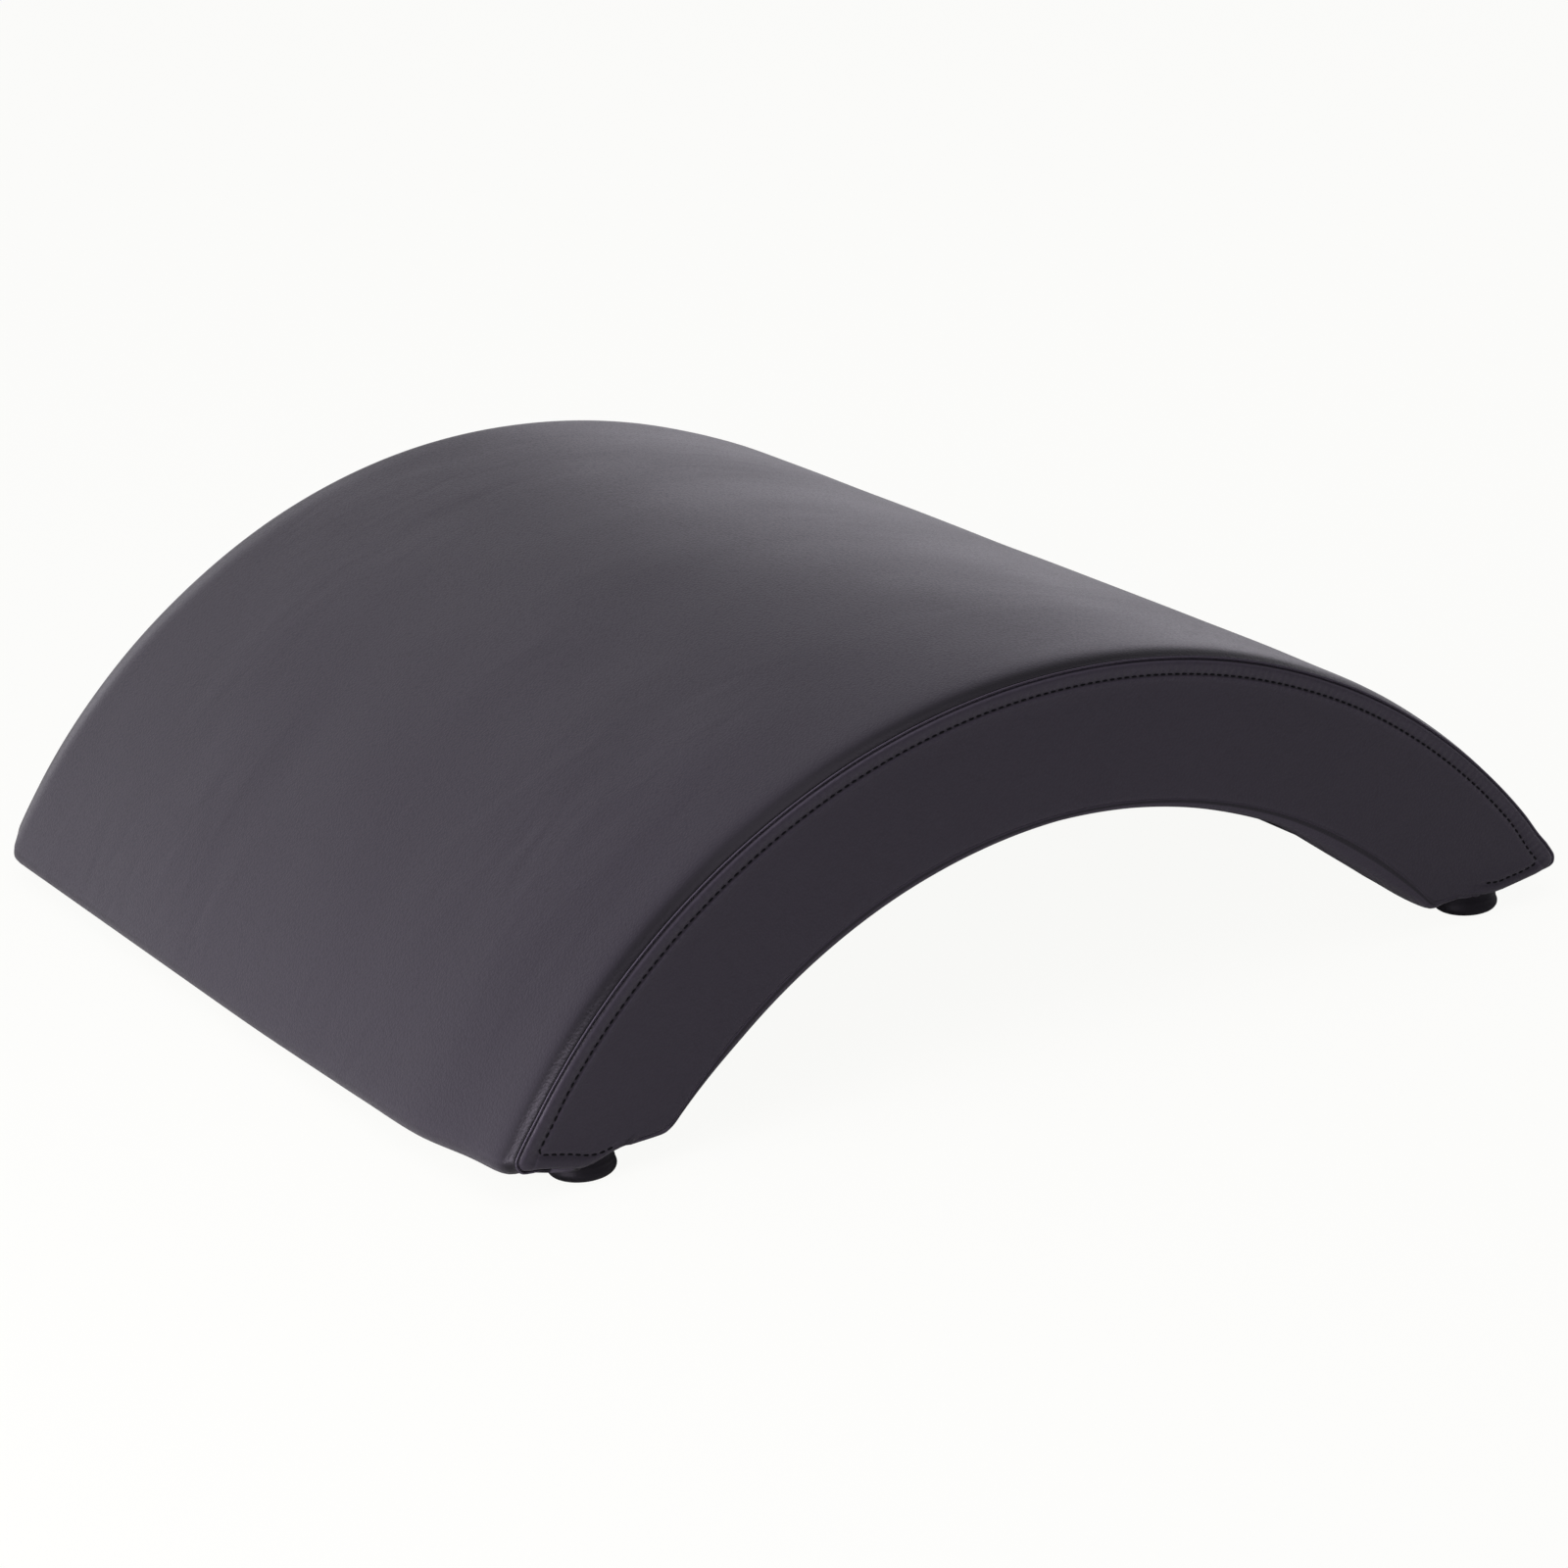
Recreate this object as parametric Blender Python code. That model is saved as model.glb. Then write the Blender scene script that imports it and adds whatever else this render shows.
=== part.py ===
"""Upholstered Pilates arc: a bent plywood deck on three ribs, padded, covered and set on four rubber feet.

Metres, +Z up. The origin is on the floor under the middle of the arc. X runs along the arc, Y across it,
and the front is the -Y side. Cross-sections are worked out in the XZ plane and lofted along Y.
"""

import math
from collections import namedtuple

import bmesh
import bpy
from mathutils import Matrix

# Outside form, taken along the sewn edge of a side panel
SEAM_SPAN = 0.520
SEAM_RISE = 0.1451
LEG_LENGTH = 0.07175
CROWN_DEPTH = 0.0609
WIDTH = 0.5005
SEAM_LIFT = 0.0039

# Fullness of the padded top: over the seam, across its rolled edge, and at the foot of each leg
CROWN_FULLNESS = 0.0027
ROLL_WIDTH = 0.012
LEG_FULLNESS = 0.0045
BELLY_DROP = 0.0050
BELLY_BLEND = 0.094
BELLY_FILLET = 0.0050
BELLY_MARGIN = 0.0025
SEAM_FILLET = 0.0020
SEAM_TUCK = 0.0025
HOLLOW_FILLET = 0.004
HOLLOW_ROLL = 0.005

# Thickness of each layer, from the outside in
COVER = 0.0012
TOP_FOAM = 0.022
SIDE_FOAM = 0.008
DECK = 0.009
SOFFIT = 0.003
RIB = 0.015
RAIL_HEIGHT = 0.018
RAIL_SETBACK = 0.0097
GAP = 0.0003

# Battens between the ribs, under the deck
BATTEN_WIDTH = 0.030
BATTEN_DEPTH = 0.015
BATTEN_COUNT = 5
BATTEN_CLEARANCE = 0.007

# Rubber feet, each held by a pan-head screw and a washer down in its recess
FOOT_HEIGHT = 0.0112
FOOT_RADIUS = 0.014
FOOT_WAIST = 0.0126
FOOT_RIM = 0.0030
FOOT_BORE = 0.0026
RECESS_RADIUS = 0.0062
RECESS_DEPTH = 0.0058
FOOT_FROM_SIDE = 0.0168
FOOT_FROM_RAIL_EDGE = 0.0162
HEM_SLOT = 0.010
WASHER_RADIUS = 0.0056
WASHER_THICKNESS = 0.0011
SCREW_RADIUS = 0.0020
SCREW_HEAD_RADIUS = 0.0041
SCREW_HEAD_HEIGHT = 0.0026
SCREW_BITE = 0.0120
SCREW_POINT = 0.0030

# Fineness of the curves
ARC_STEPS = 10
FILLET_STEPS = 3
HEM_STEPS = 3
ROLL_STEPS = 3
BELLY_STEPS = 4
TURN_STEPS = 24
RIM_STEPS = 4
SHARP_ANGLE = math.radians(35)

# Colour, roughness and metallic value of each material
FINISHES = {
    "leatherette": ((0.050, 0.048, 0.055, 1), 0.45, 0.0),
    "foam": ((0.62, 0.60, 0.52, 1), 0.95, 0.0),
    "plywood": ((0.52, 0.38, 0.23, 1), 0.70, 0.0),
    "softwood": ((0.60, 0.44, 0.26, 1), 0.75, 0.0),
    "rubber": ((0.020, 0.020, 0.022, 1), 0.60, 0.0),
    "zinc_steel": ((0.62, 0.62, 0.60, 1), 0.35, 1.0),
}

Arc = namedtuple("Arc", "radius centre")

BODY_BOTTOM = FOOT_HEIGHT + GAP
SEAM_FOOT = BODY_BOTTOM + SEAM_LIFT
RAIL_BOTTOM = BODY_BOTTOM + COVER + GAP
RAIL_TOP = RAIL_BOTTOM + RAIL_HEIGHT
LEG_CUT = RAIL_TOP + GAP
LEG_TUCK = BODY_BOTTOM + SEAM_TUCK + GAP


def arc_over(span, rise, base):
    """The arc that stands on a chord of this span at height base."""
    radius = (span**2 / 4 + rise**2) / (2 * rise)
    return Arc(radius, base + rise - radius)


def offset(arc, distance):
    return Arc(arc.radius + distance, arc.centre)


def angle_at(arc, height):
    """The arc's angle from the vertical where it comes down to a height."""
    return math.acos((height - arc.centre) / arc.radius)


def x_at(arc, height):
    return arc.radius * math.sin(angle_at(arc, height))


def on_arc(arc, angle):
    """The point (x, z) of an arc at an angle from the vertical."""
    return (arc.radius * math.sin(angle), arc.centre + arc.radius * math.cos(angle))


def along(arc, start, end, steps):
    """Points of an arc between two angles from the vertical, both ends included."""
    return [on_arc(arc, start + (end - start) * i / steps) for i in range(steps + 1)]


def both_legs(right_half):
    """A whole line from the left leg to the right one, from its right half, which starts at the crown."""
    return [(-x, z) for x, z in reversed(right_half[1:])] + right_half


def down_to(arc, height, steps=ARC_STEPS):
    """An arc's line, cut off level at a height on both legs."""
    return both_legs(along(arc, 0.0, angle_at(arc, height), steps))


SEAM_ARC = arc_over(SEAM_SPAN, SEAM_RISE, SEAM_FOOT)
TOP_ARC = offset(SEAM_ARC, CROWN_FULLNESS)
FOAM_ARC = offset(TOP_ARC, -COVER - GAP)
DECK_TOP = offset(FOAM_ARC, -TOP_FOAM - GAP)
DECK_UNDER = offset(DECK_TOP, -DECK)
RIB_TOP = offset(DECK_UNDER, -GAP)
HOLLOW_ARC = arc_over(SEAM_SPAN - 2 * LEG_LENGTH, SEAM_RISE - CROWN_DEPTH, SEAM_FOOT)
SOFFIT_UNDER = offset(HOLLOW_ARC, COVER + GAP)
SOFFIT_TOP = offset(SOFFIT_UNDER, SOFFIT)
RIB_UNDER = offset(SOFFIT_TOP, GAP)

SIDE_COVER_INNER = WIDTH / 2 - COVER
SIDE_FOAM_OUTER = SIDE_COVER_INNER - GAP
SIDE_FOAM_INNER = SIDE_FOAM_OUTER - SIDE_FOAM
FRAME_HALF = SIDE_FOAM_INNER - GAP
RAIL_EDGE = x_at(DECK_TOP, RAIL_BOTTOM)
BELLY_END = RAIL_EDGE + BELLY_MARGIN
FOOT_X = RAIL_EDGE - FOOT_FROM_RAIL_EDGE
FOOT_Y = WIDTH / 2 - FOOT_FROM_SIDE


def ease(share):
    """A smooth step from 0 to 1."""
    share = min(max(share, 0.0), 1.0)
    return share * share * (3 - 2 * share)


def skin_half(arc, fullness, bottom, fillet, depth):
    """Right half of a padded skin's line: over the arc and round the leg's outer edge, depth under the face.

    The skin stands out from the arc by its fullness at the leg, and by nothing at the crown.
    """
    leg_arc = offset(arc, fullness)
    centre_z = bottom + fillet
    centre_x = x_at(offset(leg_arc, -fillet), centre_z)
    turn = math.atan2(centre_x, centre_z - arc.centre)
    radius = fillet - depth
    line = []
    for i in range(ARC_STEPS + 1):
        share = i / ARC_STEPS
        line.append(on_arc(offset(arc, fullness * share**2 - depth), turn * share))
    for i in range(1, FILLET_STEPS + 1):
        angle = turn + (math.pi - turn) * i / FILLET_STEPS
        line.append((centre_x + radius * math.sin(angle), centre_z + radius * math.cos(angle)))
    return line


def hem_half(arc, fullness, bottom, fillet, depth, hem_end=None):
    """A skin's half line carried on under the leg: up to the body's bottom, then level to the hem's end."""
    line = skin_half(arc, fullness, bottom, fillet, depth)
    start = line[-1][0]
    level = max(bottom, BODY_BOTTOM)
    for i in range(1, HEM_STEPS + 1):
        share = i / HEM_STEPS
        line.append((start + (BELLY_END - start) * share, bottom + (level - bottom) * ease(share) + depth))
    if hem_end is not None:
        line.append((hem_end, level + depth))
    return line


def hollow_half(depth, hem_end=None):
    """Right half of the underside's line: along the hollow, round the leg's inner edge and along the hem."""
    centre_z = BODY_BOTTOM + HOLLOW_FILLET
    centre_x = x_at(offset(HOLLOW_ARC, HOLLOW_FILLET), centre_z)
    turn = math.atan2(centre_x, centre_z - HOLLOW_ARC.centre)
    radius = HOLLOW_FILLET - depth
    line = along(offset(HOLLOW_ARC, depth), 0.0, turn, ARC_STEPS)
    for i in range(1, FILLET_STEPS + 1):
        angle = math.pi + turn * (1 - i / FILLET_STEPS)
        line.append((centre_x + radius * math.sin(angle), centre_z + radius * math.cos(angle)))
    if hem_end is not None:
        line.append((hem_end, BODY_BOTTOM + depth))
    return line


def rolled_edge(edge, roll):
    """(y, share) from a seam, where the share is 0, to the end of its rolled edge, where it is 1."""
    angles = [math.pi / 2 * i / ROLL_STEPS for i in range(ROLL_STEPS + 1)]
    return [(edge - roll + roll * math.cos(angle), math.sin(angle)) for angle in angles]


def both_sides(stations):
    """Stations (y, share) from the front seam to the rear one, from those of the rear half, seam first."""
    return [(-y, share) for y, share in stations] + stations[::-1]


def blend(line_a, line_b, share):
    """The line that lies a share of the way from one line to another."""
    return [(ax + share * (bx - ax), az + share * (bz - az)) for (ax, az), (bx, bz) in zip(line_a, line_b)]


def skin_lines(depth, hem_end=None):
    """The lines of the padded skin at a depth under its face, front to rear, as (y, [(x, z), ...])."""
    kinds = (
        (SEAM_ARC, 0.0, BODY_BOTTOM + SEAM_TUCK, SEAM_FILLET, 0.0),
        (TOP_ARC, 0.0, BODY_BOTTOM, SEAM_FILLET + CROWN_FULLNESS, depth),
        (TOP_ARC, LEG_FULLNESS, BODY_BOTTOM - BELLY_DROP, BELLY_FILLET, depth),
    )
    seam, rolled, full = (both_legs(hem_half(*kind, hem_end)) for kind in kinds)
    stations = rolled_edge(WIDTH / 2 - depth, ROLL_WIDTH - depth)
    flat = WIDTH / 2 - ROLL_WIDTH
    inner = WIDTH / 2 - BELLY_BLEND
    for i in range(1, BELLY_STEPS + 1):
        stations.append((flat + (inner - flat) * i / BELLY_STEPS, 1.0))
    lines = []
    for y, roll in both_sides(stations):
        belly = ease((WIDTH / 2 - abs(y)) / BELLY_BLEND)
        lines.append((y, blend(blend(seam, rolled, roll), blend(seam, full, roll), belly)))
    return lines


def underside_lines(depth, hem_end):
    """The lines of the underside's skin at a depth under its face, front to rear."""
    seam = both_legs(hollow_half(SEAM_TUCK, hem_end))
    rolled = both_legs(hollow_half(depth, hem_end))
    stations = rolled_edge(WIDTH / 2 - depth, HOLLOW_ROLL - depth)
    return [(y, blend(seam, rolled, share)) for y, share in both_sides(stations)]


def side_lines(outer_arc=None):
    """The outer and inner lines of a side panel, or of the pad behind it, which stops at the deck's arc."""
    inner = both_legs(hollow_half(SEAM_TUCK + GAP))
    if outer_arc:
        return down_to(outer_arc, LEG_TUCK, ARC_STEPS + FILLET_STEPS), inner
    return both_legs(skin_half(SEAM_ARC, 0.0, BODY_BOTTOM + SEAM_TUCK, SEAM_FILLET, GAP)), inner


def clear_scene():
    for obj in list(bpy.data.objects):
        bpy.data.objects.remove(obj, do_unlink=True)


def material(name):
    made = bpy.data.materials.get(name)
    if made:
        return made
    colour, roughness, metallic = FINISHES[name]
    made = bpy.data.materials.new(name)
    made.use_nodes = True
    shader = made.node_tree.nodes["Principled BSDF"]
    shader.inputs["Base Color"].default_value = colour
    shader.inputs["Roughness"].default_value = roughness
    shader.inputs["Metallic"].default_value = metallic
    made.diffuse_color = colour
    return made


def add_object(name, bm, finish):
    """Turns a bmesh into a named object with a finish, shaded smooth except at its sharp edges."""
    bmesh.ops.recalc_face_normals(bm, faces=bm.faces)
    mesh = bpy.data.meshes.new(name)
    bm.to_mesh(mesh)
    bm.free()
    mesh.materials.append(material(finish))
    mesh.shade_smooth()
    mesh.set_sharp_from_angle(angle=SHARP_ANGLE)
    obj = bpy.data.objects.new(name, mesh)
    bpy.context.scene.collection.objects.link(obj)
    return obj


def loft(name, sections, finish):
    """A solid through sections along Y. Each is a pair of rows of points, one for each side of the wall.

    Both sides' quads fold along the same diagonal, so that skins inside one another keep their gap.
    """
    bm = bmesh.new()
    loops = []
    for (y_a, row_a), (y_b, row_b) in sections:
        side_a = [bm.verts.new((x, y_a, z)) for x, z in row_a]
        side_b = [bm.verts.new((x, y_b, z)) for x, z in row_b]
        loops.append(side_a + side_b[::-1])
    for before, after in zip(loops, loops[1:]):
        for i in range(len(before)):
            corners = (before[i - 1], before[i], after[i], after[i - 1])
            if i > len(before) // 2:
                corners = corners[1:] + corners[:1]
            bm.faces.new(corners)
    for loop in (loops[0], loops[-1]):
        for i in range(len(loop) // 2 - 1):
            bm.faces.new((loop[i], loop[i + 1], loop[-2 - i], loop[-1 - i]))
    return add_object(name, bm, finish)


def slab(name, row_a, row_b, start, end, finish):
    """A wall between two rows of points, running straight along Y from start to end."""
    return loft(name, [((y, row_a), (y, row_b)) for y in (start, end)], finish)


def turned(name, profile, finish, closed, location):
    """A piece turned about Z from (radius, z) pairs, which make a ring if closed, else run axis to axis."""
    bm = bmesh.new()
    points = [bm.verts.new((radius, 0.0, z)) for radius, z in profile]
    pairs = list(zip(points, points[1:]))
    if closed:
        pairs.append((points[-1], points[0]))
    edges = [bm.edges.new(pair) for pair in pairs]
    bmesh.ops.spin(
        bm,
        geom=points + edges,
        cent=(0, 0, 0),
        axis=(0, 0, 1),
        angle=2 * math.pi,
        steps=TURN_STEPS,
        use_merge=True,
    )
    bmesh.ops.remove_doubles(bm, verts=bm.verts, dist=GAP / 100)
    obj = add_object(name, bm, finish)
    obj.location = location
    return obj


def make_top_cover():
    """The top panel: over the arc, rolled down to the side seams, and hemmed under both legs."""
    hem_end = FOOT_X + HEM_SLOT / 2
    outside = skin_lines(0.0, hem_end)
    inside = skin_lines(COVER, hem_end)
    loft("top_cover", list(zip(outside, inside)), "leatherette")


def make_side_covers():
    """The two arched side panels, sewn to the top panel and to the underside all round."""
    outer, inner = side_lines()
    slab("front_side_cover", outer, inner, -WIDTH / 2, -SIDE_COVER_INNER, "leatherette")
    slab("rear_side_cover", outer, inner, SIDE_COVER_INNER, WIDTH / 2, "leatherette")


def make_underside_cover():
    """The panel under the hollow, rolled up to the side seams and hemmed under both legs."""
    hem_end = FOOT_X - HEM_SLOT / 2
    outside = underside_lines(0.0, hem_end)
    inside = underside_lines(COVER, hem_end)
    loft("underside_cover", list(zip(outside, inside)), "leatherette")


def make_top_foam():
    """The thick pad on the deck. It wraps down over the rails, so each leg's lower edge is soft."""
    sections = []
    for y, outer in skin_lines(COVER + GAP):
        inner = down_to(offset(DECK_TOP, GAP), LEG_TUCK, ARC_STEPS + FILLET_STEPS + HEM_STEPS)
        sections.append(((y, outer), (y, inner)))
    loft("top_foam", sections, "foam")


def make_side_foams():
    """Thin pads on the outer faces of the front and rear ribs."""
    outer, inner = side_lines(DECK_TOP)
    slab("front_side_foam", outer, inner, -SIDE_FOAM_OUTER, -SIDE_FOAM_INNER, "foam")
    slab("rear_side_foam", outer, inner, SIDE_FOAM_INNER, SIDE_FOAM_OUTER, "foam")


def make_panels():
    """The bent plywood deck over the ribs and the thinner soffit under them, both down to the rails."""
    deck_top = down_to(DECK_TOP, LEG_CUT)
    deck_under = down_to(DECK_UNDER, LEG_CUT)
    slab("top_deck", deck_top, deck_under, -FRAME_HALF, FRAME_HALF, "plywood")
    soffit_top = down_to(SOFFIT_TOP, LEG_CUT)
    soffit_under = down_to(SOFFIT_UNDER, LEG_CUT)
    slab("soffit_panel", soffit_top, soffit_under, -FRAME_HALF, FRAME_HALF, "plywood")


def make_ribs():
    """Three arched plywood ribs that stand on the rails and carry the deck."""
    outer = down_to(RIB_TOP, LEG_CUT)
    inner = down_to(RIB_UNDER, LEG_CUT)
    centres = {"front_rib": RIB / 2 - FRAME_HALF, "centre_rib": 0.0, "rear_rib": FRAME_HALF - RIB / 2}
    for name, y in centres.items():
        slab(name, outer, inner, y - RIB / 2, y + RIB / 2, "plywood")


def make_rails():
    """A rail under each leg, shaped to the deck, with pilot holes for the feet's screws.

    Its inner face slopes back from the soffit's end, so the underside cover is drawn in there.
    """
    outer = along(DECK_TOP, angle_at(DECK_TOP, RAIL_TOP), angle_at(DECK_TOP, RAIL_BOTTOM), 3)
    inner_top = x_at(SOFFIT_UNDER, RAIL_TOP)
    inner_bottom = x_at(SOFFIT_UNDER, RAIL_BOTTOM) + RAIL_SETBACK
    inner = []
    for _, z in outer:
        share = (RAIL_TOP - z) / RAIL_HEIGHT
        inner.append((inner_top + (inner_bottom - inner_top) * share, z))
    for name, side in (("left_end_rail", -1), ("right_end_rail", 1)):
        row_a = [(side * x, z) for x, z in outer]
        row_b = [(side * x, z) for x, z in inner]
        rail = slab(name, row_a, row_b, -FRAME_HALF, FRAME_HALF, "softwood")
        for end, y in (("front", -FOOT_Y), ("rear", FOOT_Y)):
            cut_pilot_hole(rail, end, side * FOOT_X, y)


def cut_pilot_hole(rail, end, x, y):
    """Cuts the blind hole that a foot's screw bites into, up from the rail's underside."""
    radius = SCREW_RADIUS + GAP
    bottom = RAIL_BOTTOM - COVER
    top = RAIL_BOTTOM + SCREW_BITE + GAP
    profile = [(0.0, top), (radius, top), (radius, bottom), (0.0, bottom)]
    name = f"{rail.name}_{end}_pilot"
    cutter = turned(name, profile, "softwood", False, (x, y, 0.0))
    cutter.hide_render = True
    cutter.display_type = "WIRE"
    cut = rail.modifiers.new(f"{end} pilot hole", "BOOLEAN")
    cut.operation = "DIFFERENCE"
    cut.object = cutter


def end_batten_angle(top):
    """The angle of the outermost batten, whose lower corner stays clear of the rail by BATTEN_CLEARANCE."""
    depth = top - BATTEN_DEPTH
    half = BATTEN_WIDTH / 2
    corner = RAIL_TOP + BATTEN_CLEARANCE - RIB_TOP.centre
    return math.acos(corner / math.hypot(depth, half)) - math.atan2(half, depth)


def make_battens():
    """Planed battens across the arc, housed between the ribs and hard up under the deck."""
    top = math.sqrt(RIB_TOP.radius**2 - (BATTEN_WIDTH / 2) ** 2)
    end_angle = end_batten_angle(top)
    start = RIB / 2 + GAP
    length = FRAME_HALF - RIB - GAP - start
    for bay, side in (("front", -1), ("rear", 1)):
        for number in range(BATTEN_COUNT):
            bm = bmesh.new()
            bmesh.ops.create_cube(bm, size=1.0)
            bmesh.ops.scale(bm, vec=(BATTEN_WIDTH, length, BATTEN_DEPTH), verts=bm.verts)
            bmesh.ops.translate(bm, vec=(0, 0, top - BATTEN_DEPTH / 2), verts=bm.verts)
            turn = end_angle * (2 * number / (BATTEN_COUNT - 1) - 1)
            bmesh.ops.transform(bm, matrix=Matrix.Rotation(turn, 4, "Y"), verts=bm.verts)
            batten = add_object(f"{bay}_batten_{number + 1}", bm, "softwood")
            batten.location = (0, side * (start + length / 2), RIB_TOP.centre)


def foot_profile():
    """Half of a foot's section: waisted under the body, with a rounded rim, and recessed for its screw."""
    rim = []
    for i in range(RIM_STEPS + 1):
        angle = math.pi / 2 * i / RIM_STEPS
        out = FOOT_RADIUS - FOOT_RIM + FOOT_RIM * math.cos(angle)
        rim.append((out, FOOT_RIM - FOOT_RIM * math.sin(angle)))
    recess = [
        (RECESS_RADIUS, 0.0),
        (RECESS_RADIUS, RECESS_DEPTH),
        (FOOT_BORE, RECESS_DEPTH),
        (FOOT_BORE, FOOT_HEIGHT),
    ]
    return [(FOOT_WAIST, FOOT_HEIGHT)] + rim + recess


def screw_profile():
    """Half of a screw's section: a pan head in the foot's recess and a plain shank with a point."""
    seat = RECESS_DEPTH - WASHER_THICKNESS - 2 * GAP
    tip = RAIL_BOTTOM + SCREW_BITE
    head = [(0.0, seat - SCREW_HEAD_HEIGHT)]
    for i in range(1, RIM_STEPS + 1):
        angle = math.pi / 2 * i / RIM_STEPS
        head.append((SCREW_HEAD_RADIUS * math.sin(angle), seat - SCREW_HEAD_HEIGHT * math.cos(angle)))
    return head + [(SCREW_RADIUS, seat), (SCREW_RADIUS, tip - SCREW_POINT), (0.0, tip)]


def make_feet():
    """Four feet with their washers and screws."""
    washer_top = RECESS_DEPTH - GAP
    washer_bottom = washer_top - WASHER_THICKNESS
    washer = [
        (FOOT_BORE, washer_top),
        (WASHER_RADIUS, washer_top),
        (WASHER_RADIUS, washer_bottom),
        (FOOT_BORE, washer_bottom),
    ]
    for end, y in (("front", -FOOT_Y), ("rear", FOOT_Y)):
        for side, x in (("left", -FOOT_X), ("right", FOOT_X)):
            place = (x, y, 0.0)
            turned(f"{end}_{side}_foot", foot_profile(), "rubber", True, place)
            turned(f"{end}_{side}_washer", washer, "zinc_steel", True, place)
            turned(f"{end}_{side}_screw", screw_profile(), "zinc_steel", False, place)


clear_scene()
make_top_cover()
make_side_covers()
make_underside_cover()
make_top_foam()
make_side_foams()
make_panels()
make_ribs()
make_rails()
make_battens()
make_feet()
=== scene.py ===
"""Dresses an upholstered Pilates arc: leatherette covers, padding, seams, stitches, staples and rubber feet.

Metres, +Z up, in the frame of the CAD part. X runs along the arc, Y across it, and the front is the -Y side.
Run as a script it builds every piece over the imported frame, with its finishes, lights, floor and camera.
"""

import math
from collections import namedtuple

import bmesh
import bpy
from mathutils import Matrix, Vector, noise


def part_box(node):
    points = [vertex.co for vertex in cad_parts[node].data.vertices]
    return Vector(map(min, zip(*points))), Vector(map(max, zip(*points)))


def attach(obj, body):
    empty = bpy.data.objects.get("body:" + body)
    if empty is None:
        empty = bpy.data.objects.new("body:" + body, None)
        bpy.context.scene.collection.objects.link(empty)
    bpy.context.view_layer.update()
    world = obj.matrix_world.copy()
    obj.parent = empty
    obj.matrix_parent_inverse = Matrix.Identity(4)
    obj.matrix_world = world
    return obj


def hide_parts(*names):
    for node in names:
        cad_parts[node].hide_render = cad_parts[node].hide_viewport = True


bl_info = {
    "name": "Upholstered Pilates arc",
    "version": (1, 0, 0),
    "blender": (4, 5, 0),
    "location": "View3D > Sidebar > Pilates Arc",
    "description": "Covers, pads, seams and feet for an upholstered Pilates arc, fitted over its frame",
    "category": "Object",
}

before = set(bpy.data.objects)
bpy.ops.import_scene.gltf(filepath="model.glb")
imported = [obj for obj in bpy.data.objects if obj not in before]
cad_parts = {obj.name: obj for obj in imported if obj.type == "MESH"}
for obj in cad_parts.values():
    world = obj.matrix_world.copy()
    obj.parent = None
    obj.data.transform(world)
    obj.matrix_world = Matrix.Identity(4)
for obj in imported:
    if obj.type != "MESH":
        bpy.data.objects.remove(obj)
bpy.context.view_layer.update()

Arc = namedtuple("Arc", "radius centre")


def arc_over(span, rise, base):
    """The arc that stands on a chord of this span at height base."""
    radius = (span**2 / 4 + rise**2) / (2 * rise)
    return Arc(radius, base + rise - radius)


def offset(arc, distance):
    return Arc(arc.radius + distance, arc.centre)


# Main lines of the part's source, as seen from the side
WIDTH = 2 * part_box("rear_side_cover")[1][1]
BODY_BOTTOM = 0.0115
FOOT_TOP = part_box("front_left_foot")[1][2]
FOOT_X = 0.22075
FOOT_Y = WIDTH / 2 - 0.0168
SEAM_ARC = arc_over(0.520, 0.1451, 0.0154)
HOLLOW_ARC = arc_over(0.3765, 0.0842, 0.0154)
GROOVE_ARC = offset(SEAM_ARC, -0.0008)
DECK_RADIUS = 0.28479
RAIL_EDGE = 0.23695
RAIL_FOOT = 0.20195
HEM_LEVEL = 0.0135
PANEL_END = 0.203
WRAP_RADIUS = 0.0022

# Roundness of a leg's tip: at the seam, where the skin is drawn in, over the belly, and at the tightest
SEAM_FILLET = 0.0045
DRAWN_FILLET = 0.0051
BELLY_FILLET = 0.0055
TIGHTEST_FILLET = 0.0016

# Where the top panel's and the underside panel's hems end, beside the middle of the feet
TOP_HEM = FOOT_X + 0.005
UNDER_HEM = FOOT_X - 0.005
# Length of each row of staples, and how far it lies from the middle of the feet
STAPLED_WIDTH = 0.40
STAPLE_ROW = 0.0085

# Height of the sewn edge under each leg, unrolled, from the leg's tip in towards the hollow
SEWN_EDGE = {
    -1: (
        (0.2520, 0.0139), (0.2473, 0.0133), (0.2347, 0.0101), (0.2228, 0.0067), (0.2120, 0.0085),
        (0.2040, 0.0125),
    ),
    1: (
        (0.2520, 0.0140), (0.2472, 0.0120), (0.2397, 0.0101), (0.2318, 0.0092), (0.2247, 0.0086),
        (0.2040, 0.0125),
    ),
}
# Height of the lowest line of a side panel, where it turns under each leg
TURNED_EDGE = {
    -1: (
        (0.2573, 0.0140), (0.2471, 0.0122), (0.2390, 0.0100), (0.2310, 0.0090), (0.2240, 0.0098),
        (0.2150, 0.0120), (0.2089, 0.0124), (0.2044, 0.0128), (0.1964, 0.0137),
    ),
    1: (
        (0.2560, 0.0150), (0.2454, 0.0134), (0.2361, 0.0122), (0.2263, 0.0110), (0.2100, 0.0112),
        (0.1960, 0.0116),
    ),
}
# Roundness of each leg's inner edge at the side panels, and of the rails behind the underside
INNER_FILLET = {-1: 0.018, 1: 0.005}
RAIL_FILLET = 0.004
# Height of the soffit's ends, where the underside leaves it
SOFFIT_END = 0.0315

# How much of its belly a leg has at a distance from the front
FRONT_BELLY = (
    (0.30, 1.04), (0.22, 1.03), (0.165, 0.95), (0.115, 0.86), (0.070, 0.73), (0.030, 0.22), (0.0, 0.0),
)

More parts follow.
